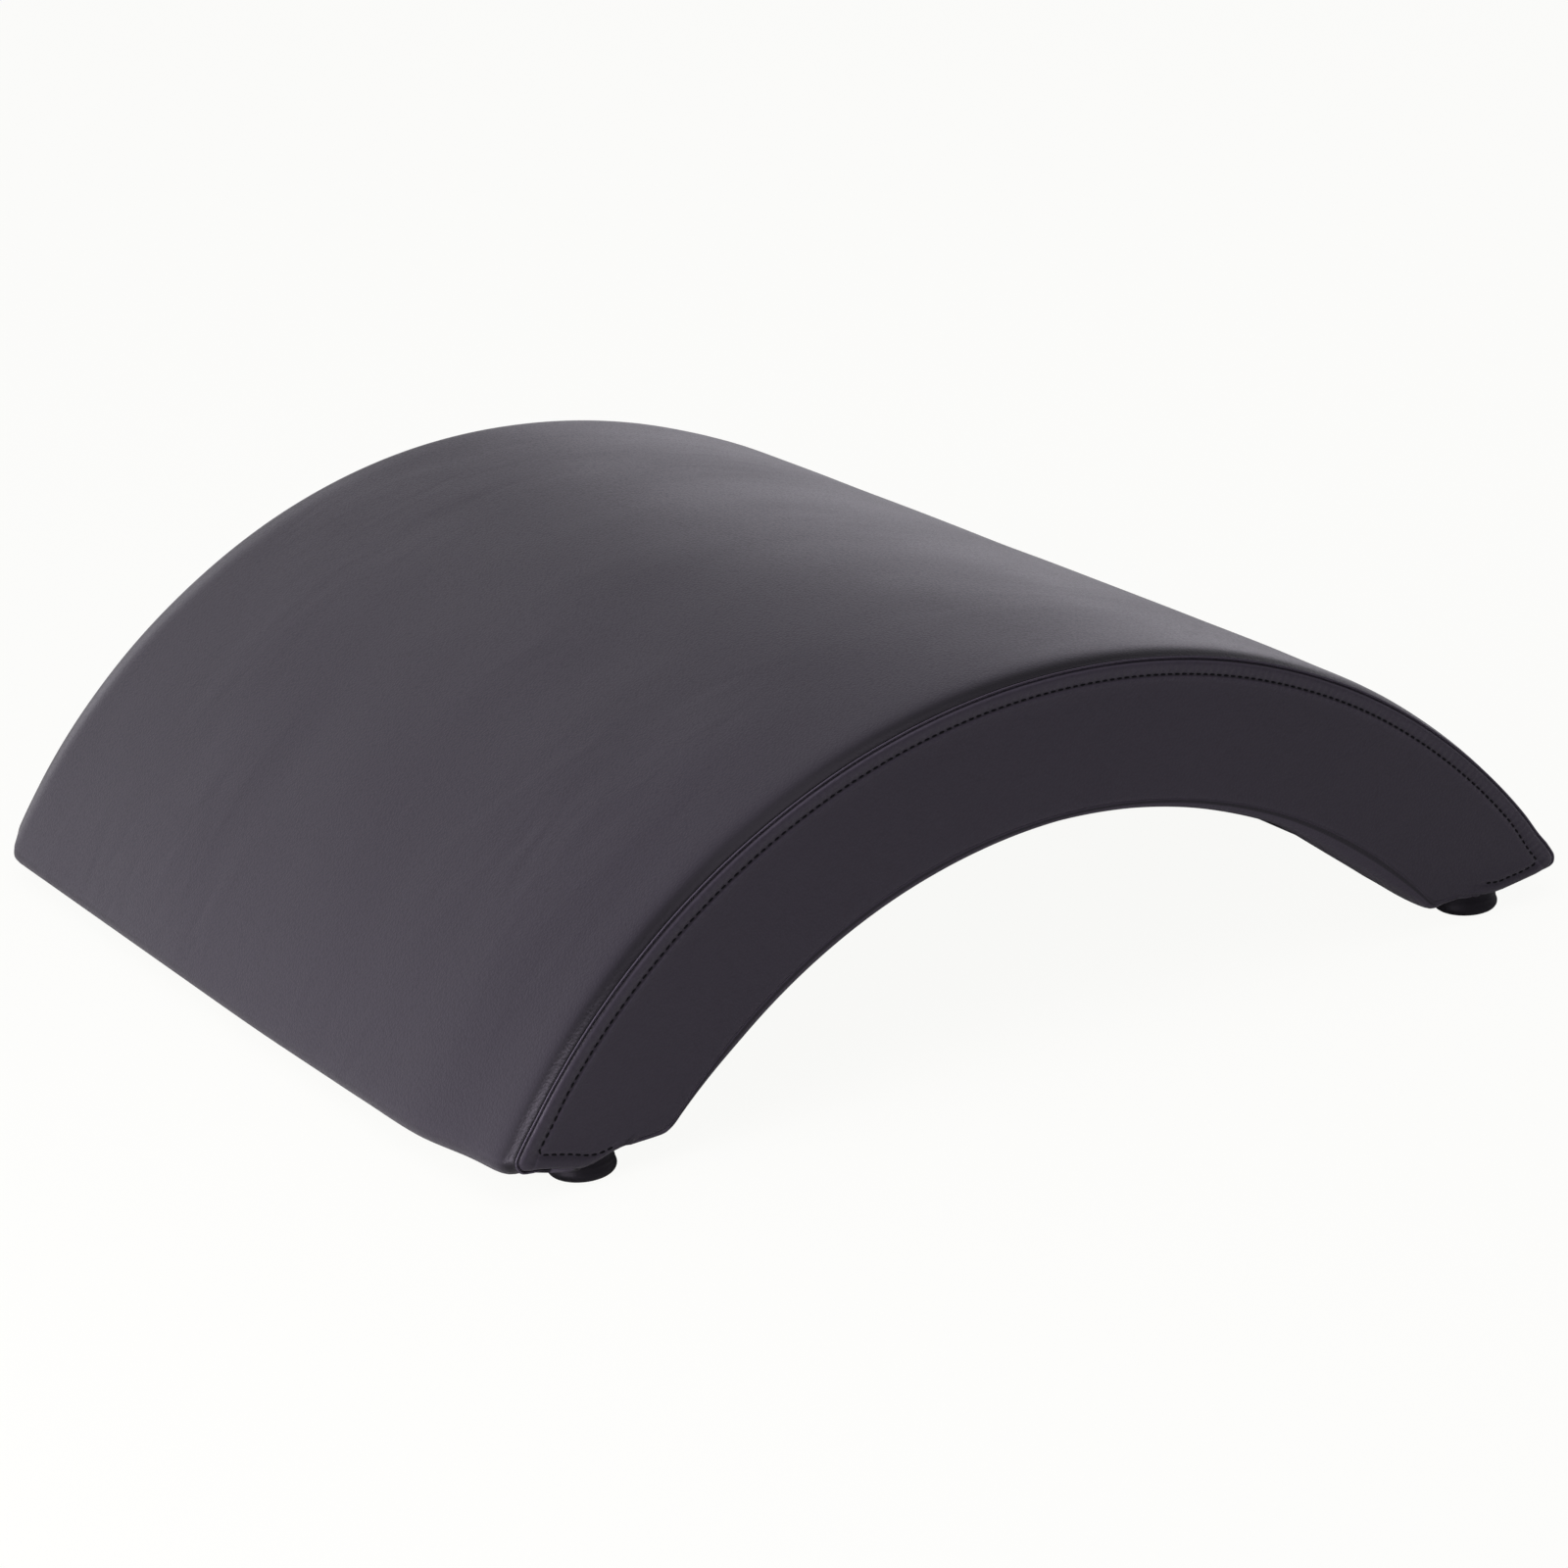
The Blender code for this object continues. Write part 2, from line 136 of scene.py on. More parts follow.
# Cells of the sewn sheets: along the arc, round a tip, along a hem, across the top, and over a side's face
ARC_CELLS = 96
TIP_CELLS = 12
HEM_CELLS = 14
INNER_CELLS = 100
FIELD_CELLS = 16
# The same for the underside: along the hollow, round a leg's inner edge, along a hem and across
UNDER_ARC_CELLS = 80
UNDER_BEND_CELLS = 10
UNDER_HEM_CELLS = 6
UNDER_ROWS = 44

# Section of the top panel across its sewn edge, in millimetres: (inset, share of the fullness, lift)
TOP_EDGE = (
    (2.4, 0.0, -0.9), (1.5, 0.0, -0.5), (0.8, 0.0, -0.2), (0.3, 0.0, 0.1), (0.05, 0.0, 0.4),
    (0.1, 0.0, 0.7), (0.4, 0.0, 0.95), (0.8, 0.01, 0.8), (1.25, 0.03, 0.5), (1.8, 0.08, 0.3),
    (2.6, 0.22, 0.1), (3.6, 0.42, 0.0), (5.0, 0.62, 0.0), (7.0, 0.8, 0.0), (10.0, 0.92, 0.0),
    (14.0, 0.98, 0.0), (20.0, 1.0, 0.0),
)
# The same at the rear, where the top panel is pulled tight over a firmer edge
REAR_EDGE = (
    (1.9, 0.0, -1.0), (1.1, 0.0, -0.55), (0.5, 0.0, -0.15), (0.15, 0.0, 0.2), (0.0, 0.0, 0.55),
    (0.1, 0.03, 0.95), (0.4, 0.12, 1.1), (0.75, 0.3, 0.95), (1.1, 0.48, 0.7), (1.6, 0.66, 0.45),
    (2.4, 0.8, 0.25), (3.6, 0.9, 0.1), (5.5, 0.96, 0.0), (8.0, 0.985, 0.0), (12.0, 0.997, 0.0),
    (16.0, 1.0, 0.0), (20.0, 1.0, 0.0),
)
# Section of a side panel across its sewn edge and topstitching, in millimetres: (distance in, lift)
SIDE_EDGE = (
    (-0.2, -2.0), (0.0, -1.4), (0.2, -0.8), (0.45, -0.25), (0.8, 0.3), (1.3, 0.68), (1.9, 0.86),
    (2.8, 0.9), (4.0, 0.78), (5.0, 0.5), (5.8, 0.2), (6.2, 0.04), (6.6, -0.04), (7.0, 0.06), (7.4, 0.3),
    (8.0, 0.46), (9.0, 0.36), (10.5, 0.18), (13.0, 0.05),
)
# Section of the underside panel across its sewn edge, in millimetres: (inset, share, lift, share of the roll)
UNDER_EDGE = (
    (1.8, 0.0, -1.0, 0.0), (0.9, 0.0, -0.5, 0.0), (0.35, 0.0, -0.1, 0.0), (0.2, 0.02, 0.2, 0.06),
    (0.35, 0.08, 0.3, 0.18), (0.8, 0.2, 0.25, 0.34), (1.6, 0.35, 0.15, 0.52), (2.8, 0.55, 0.05, 0.70),
    (4.6, 0.75, 0.0, 0.86), (7.0, 0.95, 0.0, 0.96), (10.0, 1.0, 0.0, 1.0), (14.0, 1.0, 0.0, 1.0),
    (19.0, 1.0, 0.0, 0.96), (25.0, 1.0, 0.0, 0.85), (32.0, 1.0, 0.0, 0.65), (40.0, 1.0, 0.0, 0.4),
    (50.0, 1.0, 0.0, 0.15), (62.0, 1.0, 0.0, 0.0),
)
# Where the underside starts to be drawn in to each rail's foot, and over what width
UNDER_DRAW = {-1: (0.004, 0.020), 1: (0.047, 0.055)}
# Height in millimetres of the padded roll along the underside's sewn edges, by distance from the crown
UNDER_ROLL = {
    -1: (
        (0.2200, 0.0), (0.1960, 0.0), (0.1860, 0.8), (0.1700, 3.0), (0.1500, 4.6), (0.0650, 4.2),
        (0.0000, 3.0),
    ),
    1: (
        (0.2200, 0.0), (0.1960, 0.6), (0.1890, 2.6), (0.1800, 5.0), (0.1680, 7.3), (0.1550, 8.3),
        (0.1420, 8.0), (0.1280, 6.7), (0.1150, 5.5), (0.0900, 5.1), (0.0650, 4.3), (0.0000, 3.0),
    ),
}
# Section of a side panel across its edge along the hollow, in millimetres: (distance in, lift)
HOLLOW_EDGE = ((0.0, -1.7), (0.15, -1.0), (0.5, -0.4), (1.0, -0.1), (1.7, 0.0), (4.0, 0.04))

# The thick pad: its gap to cover and deck, its lowest edge, its rows across and the points cut off its ends
PAD_GAP = 0.0003
PAD_BOTTOM = 0.0146
PAD_CELLS = 50
PAD_TRIM = 6
# The side pads: how far inside the panels' faces they lie, their thickness, lowest edge and cells
SIDE_PAD_INSET = 0.0018
SIDE_PAD_THICKNESS = 0.0082
SIDE_PAD_BOTTOM = 0.0145
SIDE_PAD_CELLS = 120
# Section of the thick pad across its edge, like the top panel's
PAD_EDGE = (
    (3.4, 0.3, 0.0), (4.8, 0.55, 0.0), (6.6, 0.75, 0.0),
    (9.0, 0.88, 0.0), (12.0, 0.95, 0.0), (20.0, 1.0, 0.0),
)
# Section of a side pad: (share of the way from its rim to the hollow, share of its thickness)
SIDE_PAD_EDGE = (
    (0.0, 0.0), (0.0, 0.8), (0.02, 0.95), (0.06, 1.0), (0.5, 1.0),
    (0.94, 1.0), (0.98, 0.95), (1.0, 0.8), (1.0, 0.0),
)

# Painted light and shade on the leatherette by distance from a seam, in millimetres, as (distance,
# brightness) stops. On the top: a painted highlight on the seam's lip, then a painted dark band where the top
# rolls over
TOP_PAINTED_LIGHT = (
    (0.0, 0.5), (0.2, 3.0), (0.55, 2.6), (0.95, 0.1), (4.4, 0.0), (6.2, 0.3), (8.5, 0.8), (12.0, 1.0),
)
# Side panels: painted shade in the seam's groove and the stitch groove, painted highlights on the raised edge
# and on the ridge below the stitches
SIDE_PAINTED_LIGHT = (
    (0.0, 0.05), (0.45, 0.05), (0.8, 2.0), (1.2, 2.0), (1.7, 1.3), (3.5, 1.3), (5.6, 1.05), (6.1, 0.9),
    (7.1, 0.9), (7.6, 1.7), (8.2, 1.25), (10.0, 1.0),
)
# Side panels along the hollow: painted shade along the seam, a slight painted highlight beside it
HOLLOW_PAINTED_LIGHT = ((0.0, 0.2), (0.25, 0.2), (0.5, 1.2), (1.2, 1.1), (3.0, 1.0))
# Underside: painted shade at its seam, and the rest painted lighter than its own colour
UNDER_PAINTED_LIGHT = ((0.0, 0.15), (0.01, 0.15), (0.04, 1.4), (2.0, 1.4))
BRIGHTEST = 3.0

# Heights of the leatherette's relief, how far inside the outer seam its stitches lie, and where they end
GRAIN_HEIGHT = 0.0001
CREASE_HEIGHT = 0.0005
PUCKER_HEIGHT = 0.0001
STITCH_INSET = 0.0066
STITCH_END = 0.215

# Thickness of one pale and one dark layer of plywood
PLY_PAIR = 0.003

# Soft lights of the stage as (name, its setting, place, target, size), the tint they share, and the camera
LIGHTS = (
    ("Back light", "back_light", (-0.9, 2.6, 1.2), (0, 0, 0.05), (3.6, 1.8)),
    ("Top light", "top_light", (-0.4, -0.6, 2.6), (0, 0, 0), (2.8, 2.8)),
    ("Left light", "left_light", (-1.25, -0.45, 0.4), (-0.2, -0.2, 0.08), (0.8, 0.8)),
)
LIGHT_TINT = (0.98, 0.95, 1.0)
CAMERA_PLACE = (-0.9694, -1.72445, 0.7399)
CAMERA_AXES = ((0.8551, -0.5144, -0.0641), (0.2229, 0.2533, 0.9413), (-0.4680, -0.8193, 0.3313))


def clamp(value, low=0.0, high=1.0):
    return min(max(value, low), high)


def ease(share):
    """A smooth step from 0 to 1."""
    share = clamp(share)
    return share * share * (3 - 2 * share)


def lerp(a, b, share):
    return a + (b - a) * share


def through(points, x):
    """A smooth curve's height at x, through (x, height) pairs in falling order of x."""
    if x >= points[0][0]:
        return points[0][1]
    if x <= points[-1][0]:
        return points[-1][1]
    k = next(k for k in range(len(points) - 1) if x >= points[k + 1][0])
    (x0, y0), (x1, y1) = points[k], points[k + 1]
    before = points[max(k - 1, 0)]
    after = points[min(k + 2, len(points) - 1)]
    slope0 = (y1 - before[1]) / (x1 - before[0])
    slope1 = (after[1] - y0) / (after[0] - x0)
    span = x1 - x0
    t = (x - x0) / span
    return (
        (2 * t**3 - 3 * t**2 + 1) * y0
        + (t**3 - 2 * t**2 + t) * span * slope0
        + (3 * t**2 - 2 * t**3) * y1
        + (t**3 - t**2) * span * slope1
    )


def x_at(arc, height):
    return math.sqrt(arc.radius**2 - (height - arc.centre) ** 2)


def on_arc(arc, angle):
    return (arc.radius * math.sin(angle), arc.centre + arc.radius * math.cos(angle))


def turned_corner(arc, bottom, fillet, cells, round_cells, side=1):
    """From the crown down an arc and round a leg's corner to level, as (x, z) points of the right half.

    side is 1 for the leg's tip, outside the arc's end, and -1 for its inner edge along the hollow.
    """
    centre_z = bottom + fillet
    centre_x = x_at(offset(arc, -side * fillet), centre_z)
    turn = math.atan2(centre_x, centre_z - arc.centre)
    first = turn if side > 0 else turn + math.pi
    line = [on_arc(arc, turn * i / cells) for i in range(cells + 1)]
    for i in range(1, round_cells + 1):
        angle = lerp(first, math.pi, i / round_cells)
        line.append((centre_x + fillet * math.sin(angle), centre_z + fillet * math.cos(angle)))
    return line


def run_level(line, end, height, cells):
    """Carries a line on at a height until x reaches its end."""
    start = line[-1][0]
    for i in range(1, cells + 1):
        line.append((lerp(start, end, i / cells), height))


def normals_of(line):
    """Unit normals of an (x, z) line that runs clockwise, pointing out of the arc."""
    found = []
    for i in range(len(line)):
        ax, az = line[max(i - 1, 0)]
        bx, bz = line[min(i + 1, len(line) - 1)]
        length = math.hypot(bx - ax, bz - az)
        found.append((-(bz - az) / length, (bx - ax) / length))
    return found


def unrolled(x, z, leg):
    """A side panel's height after its lower edge is pulled to the sewn edge's curve."""
    share = 1 - ease((z - HEM_LEVEL - 0.007) / 0.022)
    return z + (through(SEWN_EDGE[leg], x) - HEM_LEVEL) * share * ease((x - PANEL_END) / 0.006)


def wrapped(x, z, lift, leg):
    """(inset from the side, height) of a side panel's point once its lower edge is turned under the leg."""
    level = through(TURNED_EDGE[leg], x)
    edge = level + WRAP_RADIUS
    if z >= edge:
        return -lift, z
    angle = min((edge - z) / WRAP_RADIUS, math.pi / 2)
    reach = WRAP_RADIUS + lift
    inset = WRAP_RADIUS - reach * math.cos(angle)
    height = edge - reach * math.sin(angle)
    beyond = (edge - z) - WRAP_RADIUS * math.pi / 2
    if beyond > 0:
        inset += beyond
        height = lerp(height, max(height, BODY_BOTTOM), ease(beyond / 0.0012))
    return inset, height


def settled(x, y, z):
    """Moves a point by the small unevenness that padding and stretched leatherette have."""
    place = Vector((x, y, z))
    broad = noise.noise(place * 7.0 + Vector((3.1, 0.4, 9.2)))
    soft = noise.noise(place * 19.0 + Vector((8.7, 5.5, 1.3)))
    away = ease((z - 0.020) / 0.05)
    rear_crest = math.exp(-(((x + 0.055) / 0.085) ** 2)) * ease((y + 0.1) / 0.3)
    move = (0.0005 * broad + 0.00025 * soft + 0.0012 * rear_crest) * away
    radial = Vector((x, 0.0, z - SEAM_ARC.centre)).normalized()
    return place + radial * move


def new_object(name, bm, material):
    """An object of the scene made from a bmesh, with its material."""
    mesh = bpy.data.meshes.new(name)
    bm.to_mesh(mesh)
    bm.free()
    mesh.materials.append(material)
    obj = bpy.data.objects.new(name, mesh)
    bpy.context.scene.collection.objects.link(obj)
    return obj


def add_piece(name, bm, material, smooth=True):
    """Turns a bmesh into a piece that rides on the body, with its finish."""
    bmesh.ops.recalc_face_normals(bm, faces=bm.faces)
    obj = new_object(name, bm, material)
    if smooth:
        obj.data.shade_smooth()
    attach(obj, "root")
    return obj


def grid(bm, rows):
    """Quads between rows of equal length."""
    made = [[bm.verts.new(point) for point in row] for row in rows]
    for before, after in zip(made, made[1:]):
        for i in range(len(before) - 1):
            bm.faces.new((before[i], before[i + 1], after[i + 1], after[i]))
    return made


def thicken(obj, thickness):
    """Gives a sheet its thickness, inwards from the face."""
    wall = obj.modifiers.new("Leatherette thickness", "SOLIDIFY")
    wall.thickness = thickness
    wall.offset = -1.0
    wall.use_rim = True


def face_outward(bm, middle):
    """Turns a sheet's faces so that they look away from a point."""
    away = sum((face.calc_center_median() - middle).dot(face.normal) * face.calc_area() for face in bm.faces)
    if away < 0:
        bmesh.ops.reverse_faces(bm, faces=bm.faces)


# Nodes


def node(tree, kind, inputs=None, **settings):
    made = tree.nodes.new(kind)
    for key, value in settings.items():
        setattr(made, key, value)
    for key, value in (inputs or {}).items():
        if isinstance(value, bpy.types.NodeSocket):
            tree.links.new(value, made.inputs[key])
        else:
            made.inputs[key].default_value = value
    return made


def new_group(name, inputs, outputs):
    """A shader node group with named sockets, as (tree, its input node, its output node)."""
    tree = bpy.data.node_groups.new(name, "ShaderNodeTree")
    for label, kind, value in inputs:
        socket = tree.interface.new_socket(name=label, in_out="INPUT", socket_type=kind)
        if value is not None:
            socket.default_value = value
    for label, kind in outputs:
        tree.interface.new_socket(name=label, in_out="OUTPUT", socket_type=kind)
    return tree, tree.nodes.new("NodeGroupInput"), tree.nodes.new("NodeGroupOutput")


def math_node(tree, operation, a, b=0.0, clamped=False):
    return node(tree, "ShaderNodeMath", {0: a, 1: b}, operation=operation, use_clamp=clamped).outputs[0]


def product(tree, first, *others):
    for other in others:
        first = math_node(tree, "MULTIPLY", first, other)
    return first


def total(tree, first, *others):
    for other in others:
        first = math_node(tree, "ADD", first, other)
    return first


def vector_math(tree, operation, a, b=(0.0, 0.0, 0.0)):
    return node(tree, "ShaderNodeVectorMath", {0: a, 1: b}, operation=operation)


def mix_colour(tree, factor, a, b):
    return node(tree, "ShaderNodeMix", {0: factor, 6: a, 7: b}, data_type="RGBA").outputs[2]


def spread(tree, value, low, high, to_low, to_high):
    """A value carried from one range to another, and held at its ends."""
    reach = {"Value": value, "From Min": low, "From Max": high, "To Min": to_low, "To Max": to_high}
    return node(tree, "ShaderNodeMapRange", reach).outputs["Result"]


def place_of(tree, scale=None):
    """Object coordinates, stretched along each axis where a scale is given."""
    place = node(tree, "ShaderNodeTexCoord").outputs["Object"]
    if scale is None:
        return place
    return node(tree, "ShaderNodeMapping", {"Vector": place, "Scale": scale}).outputs["Vector"]


def axis_of(tree, vector, axis):
    return node(tree, "ShaderNodeSeparateXYZ", {0: vector}).outputs[axis]


def noise_over(tree, place, scale, detail, distortion=0.0):
    """Soft noise, from 0 to 1."""
    values = {"Vector": place, "Scale": scale, "Detail": detail, "Distortion": distortion}
    return node(tree, "ShaderNodeTexNoise", values).outputs["Fac"]


def distance_from(tree, place, arc):
    """Distance of a place from an arc's axis."""
    shifted = vector_math(tree, "ADD", place, (0.0, 0.0, -arc.centre)).outputs["Vector"]
    flat = vector_math(tree, "MULTIPLY", shifted, (1.0, 0.0, 1.0)).outputs["Vector"]
    return vector_math(tree, "LENGTH", flat).outputs["Value"]


def painted_light_by(tree, distance, stops):
    """Painted light and shade on a panel by distance from a seam, through (millimetres, brightness) stops, as
    a multiplier of its colour.
    """
    reach = stops[-1][0]
    share = math_node(tree, "DIVIDE", distance, reach / 1000, clamped=True)
    made = node(tree, "ShaderNodeValToRGB", {"Fac": share})
    elements = made.color_ramp.elements
    for at, _ in stops[1:-1]:
        elements.new(at / reach)
    for element, (_, bright) in zip(elements, stops):
        element.color = (*[bright / BRIGHTEST] * 3, 1)
    return product(tree, made.outputs["Color"], BRIGHTEST)


def give_out(tree, out, **values):
    """Links a group's results to its output sockets."""
    for name, value in values.items():
        tree.links.new(value, out.inputs[name])


def leather_group():
    """Embossed leatherette: pebbled grain, long soft creases, puckers at the stitches, random tone, painted
    shade in the pebbles' hollows and the painted light by the seams that it is given.
    """
    tree, given, out = new_group(
        "Leatherette grain",
        (
            ("Colour", "NodeSocketColor", (0.02, 0.02, 0.02, 1)),
            ("Pebbles per metre", "NodeSocketFloat", 900.0),
            ("Grain depth", "NodeSocketFloat", 1.0),
            ("Crease depth", "NodeSocketFloat", 1.0),
            ("Pucker depth", "NodeSocketFloat", 0.0),
            ("Stitches per metre", "NodeSocketFloat", 278.0),
            # Painted light and shade by the seams, given by the material, which scales the colour
            ("Shade", "NodeSocketFloat", 1.0),
            ("Roughness", "NodeSocketFloat", 0.4),
        ),
        (("Colour", "NodeSocketColor"), ("Roughness", "NodeSocketFloat"), ("Height", "NodeSocketFloat")),
    )
    place = place_of(tree)
    pebbles = node(
        tree,
        "ShaderNodeTexVoronoi",
        {"Vector": place, "Scale": given.outputs["Pebbles per metre"], "Smoothness": 0.6},
        feature="SMOOTH_F1",
    ).outputs["Distance"]
    pores = noise_over(tree, place, 2600.0, 2.0)
    patches = noise_over(tree, place, 9.0, 4.0)
    relief = total(tree, product(tree, pebbles, -0.75), product(tree, pores, 0.3))
    relief = product(tree, relief, given.outputs["Grain depth"], GRAIN_HEIGHT)
    streaks = noise_over(tree, place_of(tree, (20.0, 46.0, 20.0)), 1.0, 1.5, 0.5)
    where = noise_over(tree, place_of(tree, (7.0, 9.0, 7.0)), 1.0, 1.0)
    creases = product(tree, streaks, spread(tree, where, 0.42, 0.68, 0.0, 1.0), given.outputs["Crease depth"])
    creases = product(tree, creases, CREASE_HEIGHT)
    above = math_node(tree, "SUBTRACT", axis_of(tree, place, "Z"), SEAM_ARC.centre)
    turn = math_node(tree, "ARCTAN2", axis_of(tree, place, "X"), above)
    full_turn = 2 * math.pi * (GROOVE_ARC.radius - STITCH_INSET)
    wave = math_node(tree, "SINE", product(tree, turn, given.outputs["Stitches per metre"], full_turn))
    inwards = math_node(tree, "SUBTRACT", SEAM_ARC.radius, distance_from(tree, place, SEAM_ARC))
    outer = spread(tree, inwards, 0.0018, 0.0066, 0.0, 1.0)
    inner = spread(tree, inwards, 0.0072, 0.0100, 1.0, 0.0)
    puckers = product(tree, wave, outer, inner, given.outputs["Pucker depth"], PUCKER_HEIGHT)
    # The patches vary the tone at random. The pebbles' hollows are painted darker and their tops a little
    # lighter, painted shade; the painted light by the seams scales both
    mottle = spread(tree, patches, 0.3, 0.7, 0.93, 1.07)
    shade = product(tree, mottle, spread(tree, pebbles, 0.1, 0.8, 1.05, 0.9), given.outputs["Shade"])
    shaded = {0: given.outputs["Colour"], "Scale": shade}
    colour = node(tree, "ShaderNodeVectorMath", shaded, operation="SCALE").outputs["Vector"]
    rough = total(tree, given.outputs["Roughness"], spread(tree, patches, 0.3, 0.7, -0.03, 0.03))
    rough = math_node(tree, "ADD", rough, spread(tree, pebbles, 0.1, 0.8, -0.02, 0.06), clamped=True)
    height = total(tree, relief, creases, puckers)
    give_out(tree, out, Colour=colour, Roughness=rough, Height=height)
    return tree


def wood_group():
    """Long fibres of wood that run along one axis, with early and late wood."""
    tree, given, out = new_group(
        "Wood grain",
        (
            ("Pale", "NodeSocketColor", (0.6, 0.45, 0.28, 1)),
            ("Dark", "NodeSocketColor", (0.42, 0.27, 0.14, 1)),
            ("Stretch", "NodeSocketVector", (60.0, 3.0, 60.0)),
        ),
        (("Colour", "NodeSocketColor"), ("Fibres", "NodeSocketFloat")),
    )
    stretched = vector_math(tree, "MULTIPLY", place_of(tree), given.outputs["Stretch"]).outputs["Vector"]
    rings = noise_over(tree, stretched, 1.0, 5.0, 0.9)
    fine = noise_over(tree, stretched, 7.0, 3.0)
    bands = math_node(tree, "FRACT", product(tree, rings, 5.0))
    fibres = total(tree, product(tree, bands, 0.65), product(tree, fine, 0.45))
    colour = mix_colour(tree, fibres, given.outputs["Pale"], given.outputs["Dark"])
    give_out(tree, out, Colour=colour, Fibres=fibres)
    return tree


def place_group(tree, name, maker, values):
    """A node of a shared group, which is made when it is first placed, with this material's own values."""
    made = node(tree, "ShaderNodeGroup", node_tree=bpy.data.node_groups.get(name) or maker())
    for key, value in values.items():
        made.inputs[key].default_value = value
    return made


def toned(colour, share=1.0, lift=0.0):
    """A finish's colour with its alpha, made lighter or darker."""
    return (*[channel * share + lift for channel in colour], 1)


def new_material(name):
    """A node material, as (material, its tree, its Principled shader)."""
    material = bpy.data.materials.new(name)
    material.use_nodes = True
    return material, material.node_tree, material.node_tree.nodes["Principled BSDF"]


def made_once(maker):
    """Gives a material by its name, and makes it when it is first asked for."""

    def give(name, *values):
        return bpy.data.materials.get(name) or maker(name, *values)

    return give


def dress(tree, shader, colour, roughness, height, strength, distance):
    """Links a shader's colour, roughness and relief."""
    relief = node(tree, "ShaderNodeBump", {"Height": height, "Strength": strength, "Distance": distance})
    tree.links.new(colour, shader.inputs["Base Color"])
    tree.links.new(roughness, shader.inputs["Roughness"])
    tree.links.new(relief.outputs["Normal"], shader.inputs["Normal"])


@made_once
def leatherette(name, panel, creases, puckers=0.0):
    """Charcoal leatherette with a fine embossed grain, for the "top", "side" or "under" panels."""
    finishes = bpy.context.scene.arc_finishes
    sewing = bpy.context.scene.arc_sewing
    made, tree, shader = new_material(name)
    grain = place_group(
        tree,
        "Leatherette grain",
        leather_group,
        {
            "Colour": toned(finishes.leather),
            "Pebbles per metre": finishes.pebbles,
            "Grain depth": finishes.grain_depth,
            "Crease depth": creases,
            "Pucker depth": puckers,
            "Stitches per metre": 1 / sewing.pitch,
            "Roughness": finishes.leather_roughness,
        },
    )
    # Painted light and shade by each panel's seams: darker in the grooves and folds beside the seams, lighter
    # on the sewn ridges. It scales the colour in the grain group
    place = place_of(tree)
    if panel == "side":
        outer = math_node(tree, "SUBTRACT", GROOVE_ARC.radius, distance_from(tree, place, GROOVE_ARC))
        inner = math_node(tree, "SUBTRACT", distance_from(tree, place, HOLLOW_ARC), HOLLOW_ARC.radius)
        shade = product(tree, painted_light_by(tree, outer, SIDE_PAINTED_LIGHT), painted_light_by(tree, inner, HOLLOW_PAINTED_LIGHT))
    else:
        inset = math_node(tree, "SUBTRACT", WIDTH / 2, math_node(tree, "ABSOLUTE", axis_of(tree, place, "Y")))
        shade = painted_light_by(tree, inset, TOP_PAINTED_LIGHT if panel == "top" else UNDER_PAINTED_LIGHT)
    tree.links.new(shade, grain.inputs["Shade"])
    shader.inputs["IOR"].default_value = 1.38
    shader.inputs["Specular Tint"].default_value = toned(finishes.sheen)
    dress(tree, shader, *[grain.outputs[name] for name in ("Colour", "Roughness", "Height")], 1.0, 1.0)
    made.diffuse_color = toned(finishes.leather)
    return made


@made_once
def thread_material(name, finishes):
    """Twisted polyester thread."""
    made, tree, shader = new_material(name)
    twist = noise_over(tree, place_of(tree, (900.0, 900.0, 900.0)), 1.0, 2.0)
    colour = mix_colour(tree, twist, toned(finishes.thread, 0.6), toned(finishes.thread))
    shader.inputs["IOR"].default_value = 1.15
    dress(tree, shader, colour, spread(tree, twist, 0.3, 0.7, 0.5, 0.7), twist, 0.4, 0.0002)
    return made


@made_once
def foam_material(name, finishes):
    """Cut polyurethane foam with open pores."""
    made, tree, shader = new_material(name)
    place = place_of(tree)
    pores = node(tree, "ShaderNodeTexVoronoi", {"Vector": place, "Scale": 1100.0}).outputs["Distance"]
    tone = noise_over(tree, place, 14.0, 3.0)
    mixed = total(tree, product(tree, pores, 0.7), product(tree, tone, 0.3))
    colour = mix_colour(tree, mixed, toned(finishes.foam, 0.72), toned(finishes.foam))
    dress(tree, shader, colour, spread(tree, tone, 0.3, 0.7, 0.88, 0.98), pores, 0.6, 0.0006)
    return made


@made_once
def rubber_material(name, finishes):
    """Moulded black rubber, slightly dusty, with a fine matt texture."""
    made, tree, shader = new_material(name)
    place = place_of(tree)
    fine = noise_over(tree, place, 1500.0, 3.0)
    dust = noise_over(tree, place, 120.0, 4.0)
    dusty = spread(tree, dust, 0.5, 0.8, 0.0, 1.0)
    colour = mix_colour(tree, dusty, toned(finishes.rubber), toned(finishes.rubber, 1.8, 0.001))
    shader.inputs["IOR"].default_value = 1.28
    shader.inputs["Specular Tint"].default_value = toned(finishes.sheen)
    dress(tree, shader, colour, spread(tree, dust, 0.3, 0.7, 0.42, 0.56), fine, 0.35, 0.0002)
    return made


